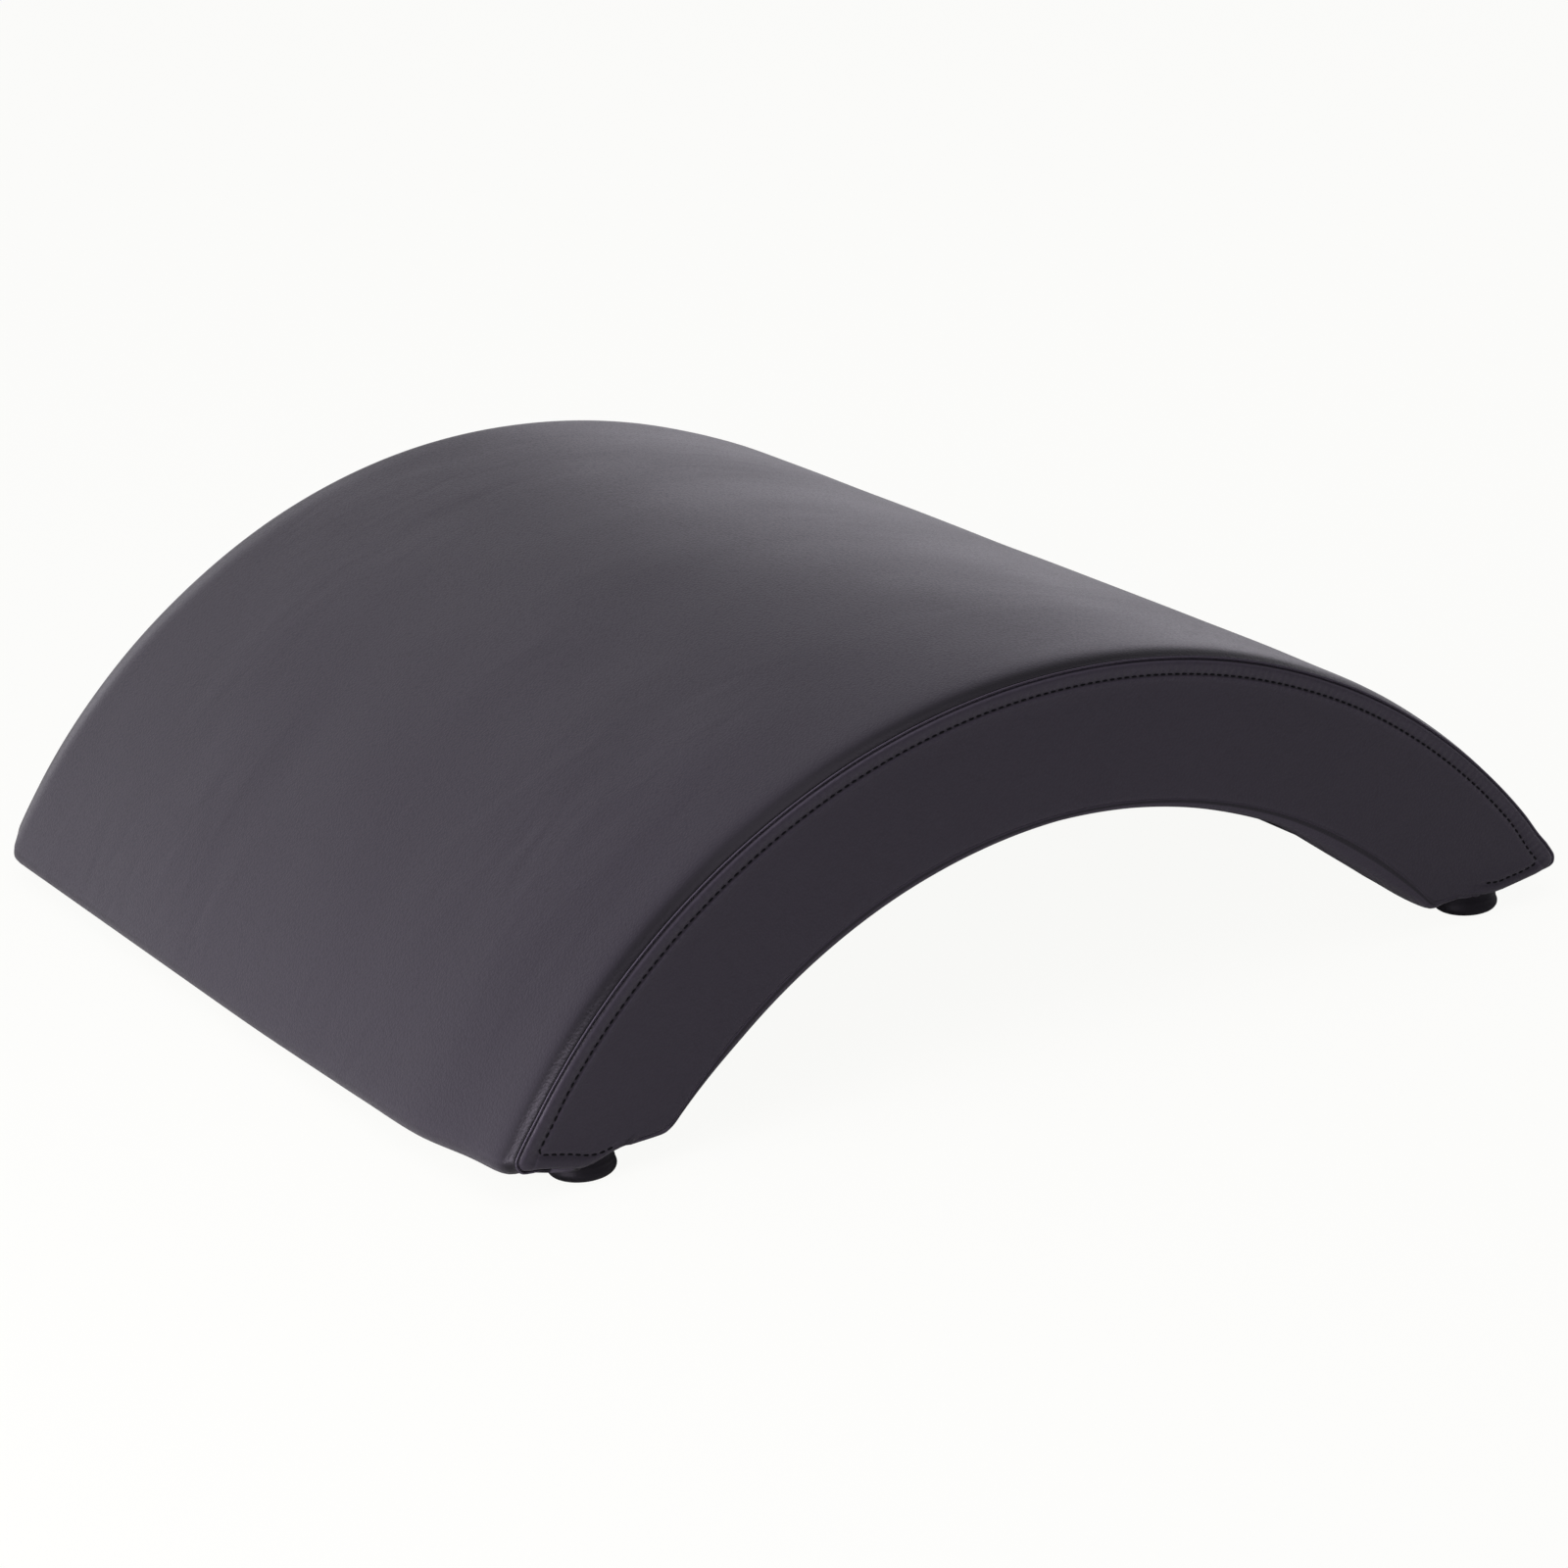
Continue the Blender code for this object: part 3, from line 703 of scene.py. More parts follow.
@made_once
def ply_material(name, finishes, layers):
    """Birch plywood: veneer grain on its faces and glued layers on its edges.

    layers is "bent" for panels whose layers follow the arc, and "flat" for ribs with layers stacked along Y.
    """
    made, tree, shader = new_material(name)
    stretch = (9.0, 140.0, 140.0) if layers == "flat" else (90.0, 5.0, 90.0)
    values = {"Pale": toned(finishes.plywood), "Dark": toned(finishes.plywood, 0.72), "Stretch": stretch}
    grain = place_group(tree, "Wood grain", wood_group, values)
    sideways = axis_of(tree, node(tree, "ShaderNodeNewGeometry").outputs["Normal"], "Y")
    sideways = math_node(tree, "ABSOLUTE", sideways)
    if layers == "flat":
        across = axis_of(tree, place_of(tree), "Y")
        edge = math_node(tree, "LESS_THAN", sideways, 0.5)
    else:
        across = distance_from(tree, place_of(tree), SEAM_ARC)
        edge = math_node(tree, "GREATER_THAN", sideways, 0.5)
    step = math_node(tree, "FRACT", product(tree, across, 1 / PLY_PAIR))
    glued = product(tree, math_node(tree, "GREATER_THAN", step, 0.5), edge)
    colour = mix_colour(tree, glued, grain.outputs["Colour"], toned(finishes.plywood, 0.55))
    fibres = grain.outputs["Fibres"]
    dress(tree, shader, colour, spread(tree, fibres, 0.0, 1.0, 0.62, 0.78), fibres, 0.25, 0.0004)
    return made


@made_once
def softwood_material(name, finishes):
    """Planed spruce whose grain runs across the arc."""
    made, tree, shader = new_material(name)
    stretch = (110.0, 4.0, 110.0)
    values = {"Pale": toned(finishes.softwood), "Dark": toned(finishes.softwood, 0.66), "Stretch": stretch}
    grain = place_group(tree, "Wood grain", wood_group, values)
    fibres = grain.outputs["Fibres"]
    roughness = spread(tree, fibres, 0.0, 1.0, 0.6, 0.8)
    dress(tree, shader, grain.outputs["Colour"], roughness, fibres, 0.3, 0.0004)
    return made


@made_once
def zinc_material(name, finishes):
    """Bright zinc plate with faint mottling and handling marks."""
    made, tree, shader = new_material(name)
    mottle = noise_over(tree, place_of(tree), 420.0, 4.0)
    colour = mix_colour(tree, mottle, toned(finishes.zinc, 0.78), toned(finishes.zinc))
    shader.inputs["Metallic"].default_value = 1.0
    dress(tree, shader, colour, spread(tree, mottle, 0.3, 0.7, 0.26, 0.42), mottle, 0.1, 0.0002)
    return made


# Sewn covers


def seam_row(leg):
    """Points (x, z) of the outer seam's right half, crown to hem, for the top panel's rows."""
    line = turned_corner(GROOVE_ARC, HEM_LEVEL, SEAM_FILLET, ARC_CELLS, TIP_CELLS)
    run_level(line, TOP_HEM, HEM_LEVEL, HEM_CELLS)
    return [(x, unrolled(x, z, leg)) for x, z in line]


def skin_half(arc, fullness, bottom, fillet):
    """The padded skin's right half, crown to hem. Towards the leg it stands out by its fullness."""
    leg_arc = offset(arc, fullness)
    line = turned_corner(leg_arc, bottom, fillet, ARC_CELLS, TIP_CELLS)
    turn = math.atan2(line[ARC_CELLS][0], line[ARC_CELLS][1] - arc.centre)
    for i in range(ARC_CELLS + 1):
        share = i / ARC_CELLS
        line[i] = on_arc(offset(arc, fullness * share**1.6), turn * share)
    start = line[-1][0]
    for i in range(1, HEM_CELLS + 1):
        x = lerp(start, TOP_HEM, i / HEM_CELLS)
        line.append((x, lerp(bottom, BODY_BOTTOM, ease((start - x) / (start - RAIL_EDGE)))))
    return line


def belly_share(y, form):
    """How much of the leg's belly a line across the arc has: it is drawn in at the corners."""
    front = through(FRONT_BELLY, (WIDTH / 2 + y) * 0.1 / form.front_blend)
    rear = ease((WIDTH / 2 - y) / form.rear_blend)
    return front * rear


def top_rows(form, depth=0.0, edge=TOP_EDGE, rear=REAR_EDGE, inner_cells=INNER_CELLS):
    """Rows of the top panel's points, one for each station from the front seam to the rear one."""
    arc = offset(SEAM_ARC, form.crown - depth)
    flat = WIDTH / 2 - edge[-1][0] / 1000
    rolled = skin_half(arc, 0.0, BODY_BOTTOM + depth, DRAWN_FILLET - depth)
    full = skin_half(arc, form.leg_fullness, BODY_BOTTOM - form.belly_drop + depth, BELLY_FILLET - depth)
    stations = [(-1, *values) for values in edge]
    stations += [(0, lerp(-flat, flat, i / inner_cells), 1.0, 0.0) for i in range(1, inner_cells)]
    stations += [(1, *values) for values in rear[::-1]]
    rows = []
    seams = {leg: seam_row(leg) for leg in (-1, 1)}
    for side, across, share, lift in stations:
        middle = across if side == 0 else side * (WIDTH / 2 - across / 1000)
        belly = belly_share(middle, form)
        halves = []
        for leg in (-1, 1):
            seam = seams[leg]
            out = normals_of(seam)
            half = []
            for i, (sx, sz) in enumerate(seam):
                tx = lerp(rolled[i][0], full[i][0], belly)
                tz = lerp(rolled[i][1], full[i][1], belly)
                if side == 0:
                    half.append(settled(leg * tx, middle, tz))
                    continue
                inset, height = wrapped(sx, sz, 0.0, leg)
                turned = ease((sx - 0.244) / 0.006) if i > ARC_CELLS + TIP_CELLS else 1.0
                rise = lift / 1000 * turned
                x = lerp(sx, tx, share) + out[i][0] * rise
                z = lerp(height, tz, share) + out[i][1] * rise
                reach = across / edge[-1][0]
                y = lerp(WIDTH / 2 - inset, flat, reach)
                half.append(settled(leg * x, side * y, z))
            halves.append(half)
        rows.append(halves[0][::-1] + halves[1][1:])
    return rows


def hollow_x(height, inwards, leg):
    """Where a side panel's edge along the hollow, or a line at a distance in from it, crosses a height."""
    fillet = INNER_FILLET[leg]
    centre_z = HEM_LEVEL + fillet
    centre_x = x_at(offset(HOLLOW_ARC, fillet), centre_z)
    turn = math.atan2(centre_x, centre_z - HOLLOW_ARC.centre)
    radius = max(fillet - inwards, 0.0)
    if height >= centre_z - radius * math.cos(turn):
        return x_at(offset(HOLLOW_ARC, inwards), height)
    below = centre_z - height
    if below <= radius:
        return centre_x - math.sqrt(radius**2 - below**2)
    return centre_x + 0.6 * (below - radius)


def side_half(leg, side):
    """A side panel's right or left half as two grids of points: its sewn border and the field inside it."""
    edge = HOLLOW_EDGE[::-1]
    rings = []
    for inwards, lift in SIDE_EDGE:
        distance = inwards / 1000
        height = HEM_LEVEL + distance
        fillet = max(SEAM_FILLET - 0.55 * distance, TIGHTEST_FILLET)
        line = turned_corner(offset(GROOVE_ARC, -distance), height, fillet, ARC_CELLS, TIP_CELLS)
        ring = [(x, z, lift / 1000) for x, z in line]
        start = line[-1][0]
        end = hollow_x(height, edge[0][0] / 1000, leg)
        places = [(lerp(start, end, i / FIELD_CELLS), 0.0) for i in range(1, FIELD_CELLS + 1)]
        places += [(hollow_x(height, inner / 1000, leg), min(drop, 0.0)) for inner, drop in edge[1:]]
        for x, drop in places:
            own = lerp(hollow_lift(max(inwards, 0.0)), lift, ease((x - 0.208) / 0.012)) + drop
            ring.append((x, height, max(own, -1.9) / 1000))
        rings.append(ring)
    last = rings[-1]
    border = ARC_CELLS + TIP_CELLS
    lengths = [0.0]
    for a, b in zip(last[:border], last[1 : border + 1]):
        lengths.append(lengths[-1] + math.hypot(b[0] - a[0], b[1] - a[1]))
    height = last[-1][1]
    field = []
    for i in range(border + 1):
        share = lengths[i] / lengths[-1]
        inner = []
        for inwards, drop in edge:
            arc = offset(HOLLOW_ARC, inwards / 1000)
            turn = math.acos((height - arc.centre) / arc.radius)
            inner.append((*on_arc(arc, turn * share), drop / 1000))
        row = []
        for j in range(FIELD_CELLS):
            row.append(tuple(lerp(a, b, j / FIELD_CELLS) for a, b in zip(last[i], inner[0])))
        field.append(row + inner)
    field[-1] = last[border:]
    grids = []
    for lines in (rings, field):
        rows = []
        for line in lines:
            row = []
            for x, z, lift in line:
                inset, placed = wrapped(x, unrolled(x, z, leg), lift, leg)
                row.append(settled(leg * x, side * (WIDTH / 2 - inset), placed))
            rows.append(row)
        grids.append(rows)
    return grids


def hollow_lift(inwards):
    """The side panel's lift at a distance in from the hollow's edge, in millimetres."""
    for (a, lift_a), (b, lift_b) in zip(HOLLOW_EDGE, HOLLOW_EDGE[1:]):
        if inwards <= b:
            return lerp(lift_a, lift_b, (inwards - a) / (b - a))
    return HOLLOW_EDGE[-1][1]


def drawn_in_line():
    """The underside's right half where it is stretched from the soffit's end to the rail's set-back foot."""
    foot = Vector((RAIL_FOOT - 0.0015, BODY_BOTTOM))
    bend = math.acos((SOFFIT_END - HOLLOW_ARC.centre) / HOLLOW_ARC.radius)
    line = [on_arc(HOLLOW_ARC, bend * i / UNDER_ARC_CELLS) for i in range(UNDER_ARC_CELLS + 1)]
    start = Vector(line[-1])
    for i in range(1, UNDER_BEND_CELLS + 1):
        share = i / UNDER_BEND_CELLS
        point = start.lerp(foot, share)
        bow = 0.0010 * math.sin(math.pi * share)
        sag = 0.0008 * (1 - ease((share - 0.8) / 0.2)) * share
        line.append((point.x + 0.6 * bow, point.y + bow + sag))
    run_level(line, UNDER_HEM, BODY_BOTTOM, UNDER_HEM_CELLS)
    return line


def underside_rows():
    """Rows of the underside panel's points, front to rear."""
    cells = (UNDER_ARC_CELLS, UNDER_BEND_CELLS)
    stations = [(-1, *values) for values in UNDER_EDGE]
    reach = WIDTH / 2 - UNDER_EDGE[-1][0] / 1000
    stations += [(0, lerp(-reach, reach, i / UNDER_ROWS), 1.0, 0.0, 0.0) for i in range(1, UNDER_ROWS)]
    stations += [(1, *values) for values in UNDER_EDGE[::-1]]
    body = turned_corner(HOLLOW_ARC, BODY_BOTTOM, RAIL_FILLET, *cells, side=-1)
    run_level(body, UNDER_HEM, BODY_BOTTOM, UNDER_HEM_CELLS)
    drawn = drawn_in_line()
    rows = []
    for side, across, share, lift, swell in stations:
        inwards = WIDTH / 2 - abs(across) if side == 0 else across / 1000
        halves = []
        for leg in (-1, 1):
            draw_start, draw_width = UNDER_DRAW[leg]
            pull = ease((inwards - draw_start) / draw_width)
            line = turned_corner(HOLLOW_ARC, HEM_LEVEL, INNER_FILLET[leg], *cells, side=-1)
            run_level(line, UNDER_HEM, HEM_LEVEL, UNDER_HEM_CELLS)
            out = normals_of(line)
            half = []
            for i, (sx, sz) in enumerate(line):
                tx = lerp(body[i][0], drawn[i][0], pull)
                tz = lerp(body[i][1], drawn[i][1], pull)
                if side == 0:
                    half.append(Vector((leg * tx, across, tz)))
                    continue
                inset, height = wrapped(sx, unrolled(sx, sz, leg), 0.0, leg)
                height = min(height, sz)
                push = (lift + swell * through(UNDER_ROLL[leg], sx)) / 1000
                x = lerp(sx, tx, share) - out[i][0] * push
                z = lerp(height, tz, share) - out[i][1] * push
                y = WIDTH / 2 - lerp(inset, inwards, clamp(inwards / 0.008))
                half.append(Vector((leg * x, side * y, z)))
            halves.append(half)
        rows.append(halves[0][::-1] + halves[1][1:])
    return rows


def sheet_piece(name, rows, middle, material, thickness):
    """A sewn sheet from grids of points, as (object, area of its outer face). It faces away from a point."""
    bm = bmesh.new()
    for part in rows:
        grid(bm, part)
    bmesh.ops.remove_doubles(bm, verts=bm.verts, dist=0.000002)
    bmesh.ops.recalc_face_normals(bm, faces=bm.faces)
    bm.normal_update()
    face_outward(bm, middle)
    area = sum(face.calc_area() for face in bm.faces)
    obj = new_object(name, bm, material)
    obj.data.shade_smooth()
    thicken(obj, thickness)
    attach(obj, "root")
    return obj, area


class ArcForm(bpy.types.PropertyGroup):
    """Sizes of the padded form."""

    crown: bpy.props.FloatProperty(
        name="Crown fullness", description="Height of the padded top over its sewn edge",
        default=0.0024, unit="LENGTH",
    )
    leg_fullness: bpy.props.FloatProperty(
        name="Leg fullness", description="How far the padding swells at each leg",
        default=0.0045, unit="LENGTH",
    )
    belly_drop: bpy.props.FloatProperty(
        name="Belly drop", description="How far the padding hangs below each leg",
        default=0.0050, unit="LENGTH",
    )
    front_blend: bpy.props.FloatProperty(
        name="Front draw", description="Width over which the front corners are drawn in",
        default=0.100, unit="LENGTH",
    )
    rear_blend: bpy.props.FloatProperty(
        name="Rear draw", description="Width over which the rear corners are drawn in",
        default=0.018, unit="LENGTH",
    )
    thickness: bpy.props.FloatProperty(
        name="Leatherette thickness", description="Thickness of the cover",
        default=0.0012, unit="LENGTH",
    )


class ArcSewing(bpy.types.PropertyGroup):
    """Sizes of the topstitching and staples."""

    pitch: bpy.props.FloatProperty(
        name="Stitch pitch", description="Distance from stitch to stitch",
        default=0.0036, unit="LENGTH",
    )
    stitch: bpy.props.FloatProperty(
        name="Stitch length", description="Length of thread that shows", default=0.0026, unit="LENGTH"
    )
    thread: bpy.props.FloatProperty(
        name="Thread thickness", description="Diameter of the thread", default=0.00072, unit="LENGTH"
    )
    staple_pitch: bpy.props.FloatProperty(
        name="Staple pitch", description="Distance from staple to staple",
        default=0.028, unit="LENGTH",
    )


class ArcFinishes(bpy.types.PropertyGroup):
    """Colours and surface values."""

    leather: bpy.props.FloatVectorProperty(
        name="Leatherette", description="Colour of the covers",
        default=(0.0175, 0.0150, 0.0205), subtype="COLOR", min=0, max=1,
    )
    sheen: bpy.props.FloatVectorProperty(
        name="Reflection", description="Tint of what the covers reflect",
        default=(0.92, 0.85, 1.0), subtype="COLOR", min=0, max=1,
    )
    leather_roughness: bpy.props.FloatProperty(
        name="Leatherette roughness", description="Roughness of the covers",
        default=0.36, min=0, max=1, subtype="FACTOR",
    )
    pebbles: bpy.props.FloatProperty(
        name="Grain", description="Pebbles of embossed grain in a metre",
        default=900.0, min=100, max=3000,
    )
    grain_depth: bpy.props.FloatProperty(
        name="Grain depth", description="Depth of the embossed grain", default=1.0, min=0, max=5
    )
    thread: bpy.props.FloatVectorProperty(
        name="Thread", description="Colour of the topstitching",
        default=(0.004, 0.004, 0.005), subtype="COLOR", min=0, max=1,
    )
    rubber: bpy.props.FloatVectorProperty(
        name="Rubber", description="Colour of the feet",
        default=(0.0045, 0.0042, 0.0052), subtype="COLOR", min=0, max=1,
    )
    foam: bpy.props.FloatVectorProperty(
        name="Foam", description="Colour of the padding",
        default=(0.62, 0.60, 0.52), subtype="COLOR", min=0, max=1,
    )
    plywood: bpy.props.FloatVectorProperty(
        name="Plywood", description="Colour of the bent panels and ribs",
        default=(0.56, 0.41, 0.25), subtype="COLOR", min=0, max=1,
    )
    softwood: bpy.props.FloatVectorProperty(
        name="Softwood", description="Colour of the rails and battens",
        default=(0.62, 0.46, 0.28), subtype="COLOR", min=0, max=1,
    )
    zinc: bpy.props.FloatVectorProperty(
        name="Zinc", description="Colour of screws, washers and staples",
        default=(0.66, 0.66, 0.63), subtype="COLOR", min=0, max=1,
    )


class ArcStage(bpy.types.PropertyGroup):
    """Light, floor and camera."""

    floor: bpy.props.FloatVectorProperty(
        name="Floor", description="Colour of the floor",
        default=(0.86, 0.86, 0.85), subtype="COLOR", min=0, max=1,
    )
    back_light: bpy.props.FloatProperty(
        name="Back light", description="Power of the broad light behind the arc",
        default=6.4, min=0, unit="POWER",
    )
    top_light: bpy.props.FloatProperty(
        name="Top light", description="Power of the soft light over the arc",
        default=30.0, min=0, unit="POWER",
    )
    left_light: bpy.props.FloatProperty(
        name="Left light", description="Power of the soft light at the left of the camera",
        default=15.5, min=0, unit="POWER",
    )
    lens: bpy.props.FloatProperty(name="Lens", description="Focal length", default=106.10, unit="CAMERA")


class ARC_OT_top_cover(bpy.types.Operator):
    """Sews the top panel over the arc, rolled down to the side seams and hemmed under both legs"""

    bl_idname = "arc.top_cover"
    bl_label = "Top cover"

    def execute(self, context):
        form = context.scene.arc_form
        material = leatherette("Charcoal leatherette, creased", "top", 1.0)
        rows = top_rows(form)
        middle = Vector((0, 0, SEAM_ARC.centre))
        obj, area = sheet_piece("top_panel", [rows], middle, material, form.thickness)
        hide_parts("top_cover")
        return {"FINISHED"}


class ARC_OT_side_covers(bpy.types.Operator):
    """Sews the two arched side panels, with a raised edge, a topstitched margin and a turned lower edge"""

    bl_idname = "arc.side_covers"
    bl_label = "Side covers"

    def execute(self, context):
        form = context.scene.arc_form
        material = leatherette("Charcoal leatherette, topstitched", "side", 0.1, 1.0)
        panels = (("front_panel", "front_side_cover", -1), ("rear_panel", "rear_side_cover", 1))
        for name, node_name, side in panels:
            grids = side_half(-1, side) + side_half(1, side)
            obj, area = sheet_piece(name, grids, Vector((0, 0, 0.1)), material, form.thickness)
            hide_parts(node_name)
        return {"FINISHED"}


class ARC_OT_underside_cover(bpy.types.Operator):
    """Stretches the underside panel over the hollow and hems it under both legs"""

    bl_idname = "arc.underside_cover"
    bl_label = "Underside cover"

    def execute(self, context):
        form = context.scene.arc_form
        material = leatherette("Charcoal leatherette, underside", "under", 0.5)
        rows = underside_rows()
        obj, area = sheet_piece("underside_panel", [rows], Vector((0, 0, 0.6)), material, form.thickness)
        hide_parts("underside_cover")
        return {"FINISHED"}


def closed_pad(name, outer_rows, inner_rows, material):
    """A pad between two grids of equal size, closed round their edges."""
    bm = bmesh.new()
    outer = grid(bm, outer_rows)
    inner = grid(bm, inner_rows)
    count = len(outer)
    last = len(outer[0]) - 1
    for k in range(count - 1):
        for i in (0, last):
            bm.faces.new((outer[k][i], outer[k + 1][i], inner[k + 1][i], inner[k][i]))
    for i in range(last):
        for k in (0, count - 1):
            bm.faces.new((outer[k][i], outer[k][i + 1], inner[k][i + 1], inner[k][i]))
    return add_piece(name, bm, material)


class ARC_OT_pads(bpy.types.Operator):
    """Makes the thick pad on the deck and the thin pads behind the side panels"""

    bl_idname = "arc.pads"
    bl_label = "Pads"

    def execute(self, context):
        form = context.scene.arc_form
        material = foam_material("Cut foam", context.scene.arc_finishes)
        depth = form.thickness + PAD_GAP
        outer = top_rows(form, depth, PAD_EDGE, PAD_EDGE, PAD_CELLS)
        deck = Arc(DECK_RADIUS + PAD_GAP, SEAM_ARC.centre)
        turn = math.acos((PAD_BOTTOM - deck.centre) / deck.radius)
        inner = []
        for row in outer:
            new = []
            for i, point in enumerate(row):
                x, z = on_arc(deck, lerp(-turn, turn, i / (len(row) - 1)))
                new.append(Vector((x, point.y, z)))
            inner.append(new)
        outer = [row[PAD_TRIM:-PAD_TRIM] for row in outer]
        inner = [row[PAD_TRIM:-PAD_TRIM] for row in inner]
        pad = closed_pad("top_pad", outer, inner, material)
        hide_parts("top_foam")
        pads = (("front_side_pad", "front_side_foam", -1), ("rear_side_pad", "rear_side_foam", 1))
        for name, node_name, side in pads:
            pad = side_pad(name, side, material)
            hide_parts(node_name)
        return {"FINISHED"}


def side_pad(name, side, material):
    """A thin pad on the outer face of a rib, with rounded edges."""
    outside = WIDTH / 2 - SIDE_PAD_INSET
    inside = outside - SIDE_PAD_THICKNESS
    high = Arc(DECK_RADIUS - 0.0005, SEAM_ARC.centre)
    low = offset(HOLLOW_ARC, 0.0030)
    turn_out, turn_in = (math.acos((SIDE_PAD_BOTTOM - arc.centre) / arc.radius) for arc in (high, low))
    bm = bmesh.new()
    loops = []
    for i in range(SIDE_PAD_CELLS + 1):
        share = 2 * i / SIDE_PAD_CELLS - 1
        top = on_arc(high, turn_out * share)
        bottom = on_arc(low, turn_in * share)
        loop = []
        for across, out in SIDE_PAD_EDGE:
            y = side * lerp(inside, outside, out)
            loop.append(bm.verts.new((lerp(top[0], bottom[0], across), y, lerp(top[1], bottom[1], across))))
        loops.append(loop)
    for before, after in zip(loops, loops[1:]):
        for k in range(len(before)):
            bm.faces.new((before[k - 1], before[k], after[k], after[k - 1]))
    for loop in (loops[0], loops[-1]):
        bm.faces.new(loop)
    return add_piece(name, bm, material, smooth=False)


def stitch_path(leg, side):
    """(point, outward normal) pairs along the topstitching of one half, crown to foot, at small steps."""
    level = HEM_LEVEL + STITCH_INSET
    line = turned_corner(offset(GROOVE_ARC, -STITCH_INSET), level, TIGHTEST_FILLET, 400, 24)
    run_level(line, STITCH_END, level, 80)
    found = []
    for x, z in line:
        height = unrolled(x, z, leg)
        points = []
        for lift in (0.0, 0.0006):
            inset, placed = wrapped(x, height, lift, leg)
            points.append(settled(leg * x, side * (WIDTH / 2 - inset), placed))
        found.append((points[0], (points[1] - points[0]).normalized()))
    return found


def at_length(path, lengths, goal):
    """Point and normal of a path at a distance along it."""
    low, high = 0, len(lengths) - 1
    while high - low > 1:
        middle = (low + high) // 2
        if lengths[middle] < goal:
            low = middle
        else:
            high = middle
    span = lengths[high] - lengths[low]
    share = (goal - lengths[low]) / span if span else 0.0
    return path[low][0].lerp(path[high][0], share), path[low][1].lerp(path[high][1], share).normalized()


def add_stitch(bm, path, lengths, start, sewing):
    """One stitch: a short thread that dips into the panel at both ends."""
    rings = []
    sides = 6
    steps = 7
    for k in range(steps + 1):
        share = k / steps
        place, out = at_length(path, lengths, start + sewing.stitch * share)
        ahead, _ = at_length(path, lengths, start + sewing.stitch * share + 0.0002)
        along = (ahead - place).normalized()
        across = along.cross(out).normalized()
        bulge = math.sin(math.pi * share) ** 0.5 if 0 < share < 1 else 0.0
        radius = sewing.thread / 2 * lerp(0.55, 1.0, bulge)
        middle = place + out * (0.0003 * bulge - 0.00022)
        ring = []
        for j in range(sides):
            angle = 2 * math.pi * j / sides
            aside = across * (radius * 1.15 * math.cos(angle))
            ring.append(bm.verts.new(middle + aside + out * (radius * math.sin(angle))))
        rings.append(ring)
    for before, after in zip(rings, rings[1:]):
        for j in range(sides):
            bm.faces.new((before[j - 1], before[j], after[j], after[j - 1]))
    bm.faces.new(rings[0][::-1])
    bm.faces.new(rings[-1])


class ARC_OT_topstitch(bpy.types.Operator):
    """Runs the topstitching round each side panel, from foot to foot"""

    bl_idname = "arc.topstitch"
    bl_label = "Topstitching"

    def execute(self, context):
        sewing = context.scene.arc_sewing
        material = thread_material("Topstitch thread", context.scene.arc_finishes)
        for name, side in (("front_topstitch", -1), ("rear_topstitch", 1)):
            left = stitch_path(-1, side)
            right = stitch_path(1, side)
            path = left[::-1] + right[1:]
            lengths = [0.0]
            for (a, _), (b, _) in zip(path, path[1:]):
                lengths.append(lengths[-1] + (b - a).length)
            count = int(lengths[-1] / sewing.pitch)
            bm = bmesh.new()
            for k in range(count):
                add_stitch(bm, path, lengths, k * sewing.pitch, sewing)
            add_piece(name, bm, material)
        return {"FINISHED"}


def foot_profile():
    """(radius, z) pairs of a foot's section: seat, waist, moulded rim, tread ring and screw recess."""
    roundness = 0.0030
    turns = [math.radians(degrees) for degrees in range(-20, 91, 11)]
    rim = [(0.0110 + roundness * math.cos(turn), roundness - roundness * math.sin(turn)) for turn in turns]
    return (
        [(0.0026, FOOT_TOP), (0.0122, FOOT_TOP), (0.0126, FOOT_TOP - 0.0004), (0.0127, 0.0090)]
        + [(0.0130, 0.0066), (0.01335, 0.00605), (0.01335, 0.00575), (0.0134, 0.0052)]
        + rim
        + [(0.0100, 0.0), (0.0097, 0.0005), (0.0091, 0.0005), (0.0088, 0.0), (0.0066, 0.0), (0.0062, 0.0004)]
        + [(0.0062, 0.0058), (0.0026, 0.0058)]
    )


def turned_piece(name, profile, place, material, steps=64):
    """A closed ring turned about Z."""
    bm = bmesh.new()
    points = [bm.verts.new((radius, 0.0, z)) for radius, z in profile]
    edges = [bm.edges.new(pair) for pair in zip(points, points[1:] + points[:1])]
    whole = {"cent": (0, 0, 0), "axis": (0, 0, 1), "angle": 2 * math.pi, "use_merge": True}
    bmesh.ops.spin(bm, geom=points + edges, steps=steps, **whole)
    bmesh.ops.remove_doubles(bm, verts=bm.verts, dist=0.000001)
    bmesh.ops.translate(bm, vec=place, verts=bm.verts)
    obj = add_piece(name, bm, material)
    obj.data.set_sharp_from_angle(angle=math.radians(40))
    return obj


class ARC_OT_feet(bpy.types.Operator):
    """Moulds the four rubber feet"""

    bl_idname = "arc.feet"
    bl_label = "Rubber feet"

    def execute(self, context):
        material = rubber_material("Moulded rubber", context.scene.arc_finishes)
        for end, y in (("front", -FOOT_Y), ("rear", FOOT_Y)):
            for leg, x in (("left", -FOOT_X), ("right", FOOT_X)):
                foot = turned_piece(f"{end}_{leg}_rubber", foot_profile(), (x, y, 0.0), material)
                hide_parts(f"{end}_{leg}_foot")
        return {"FINISHED"}


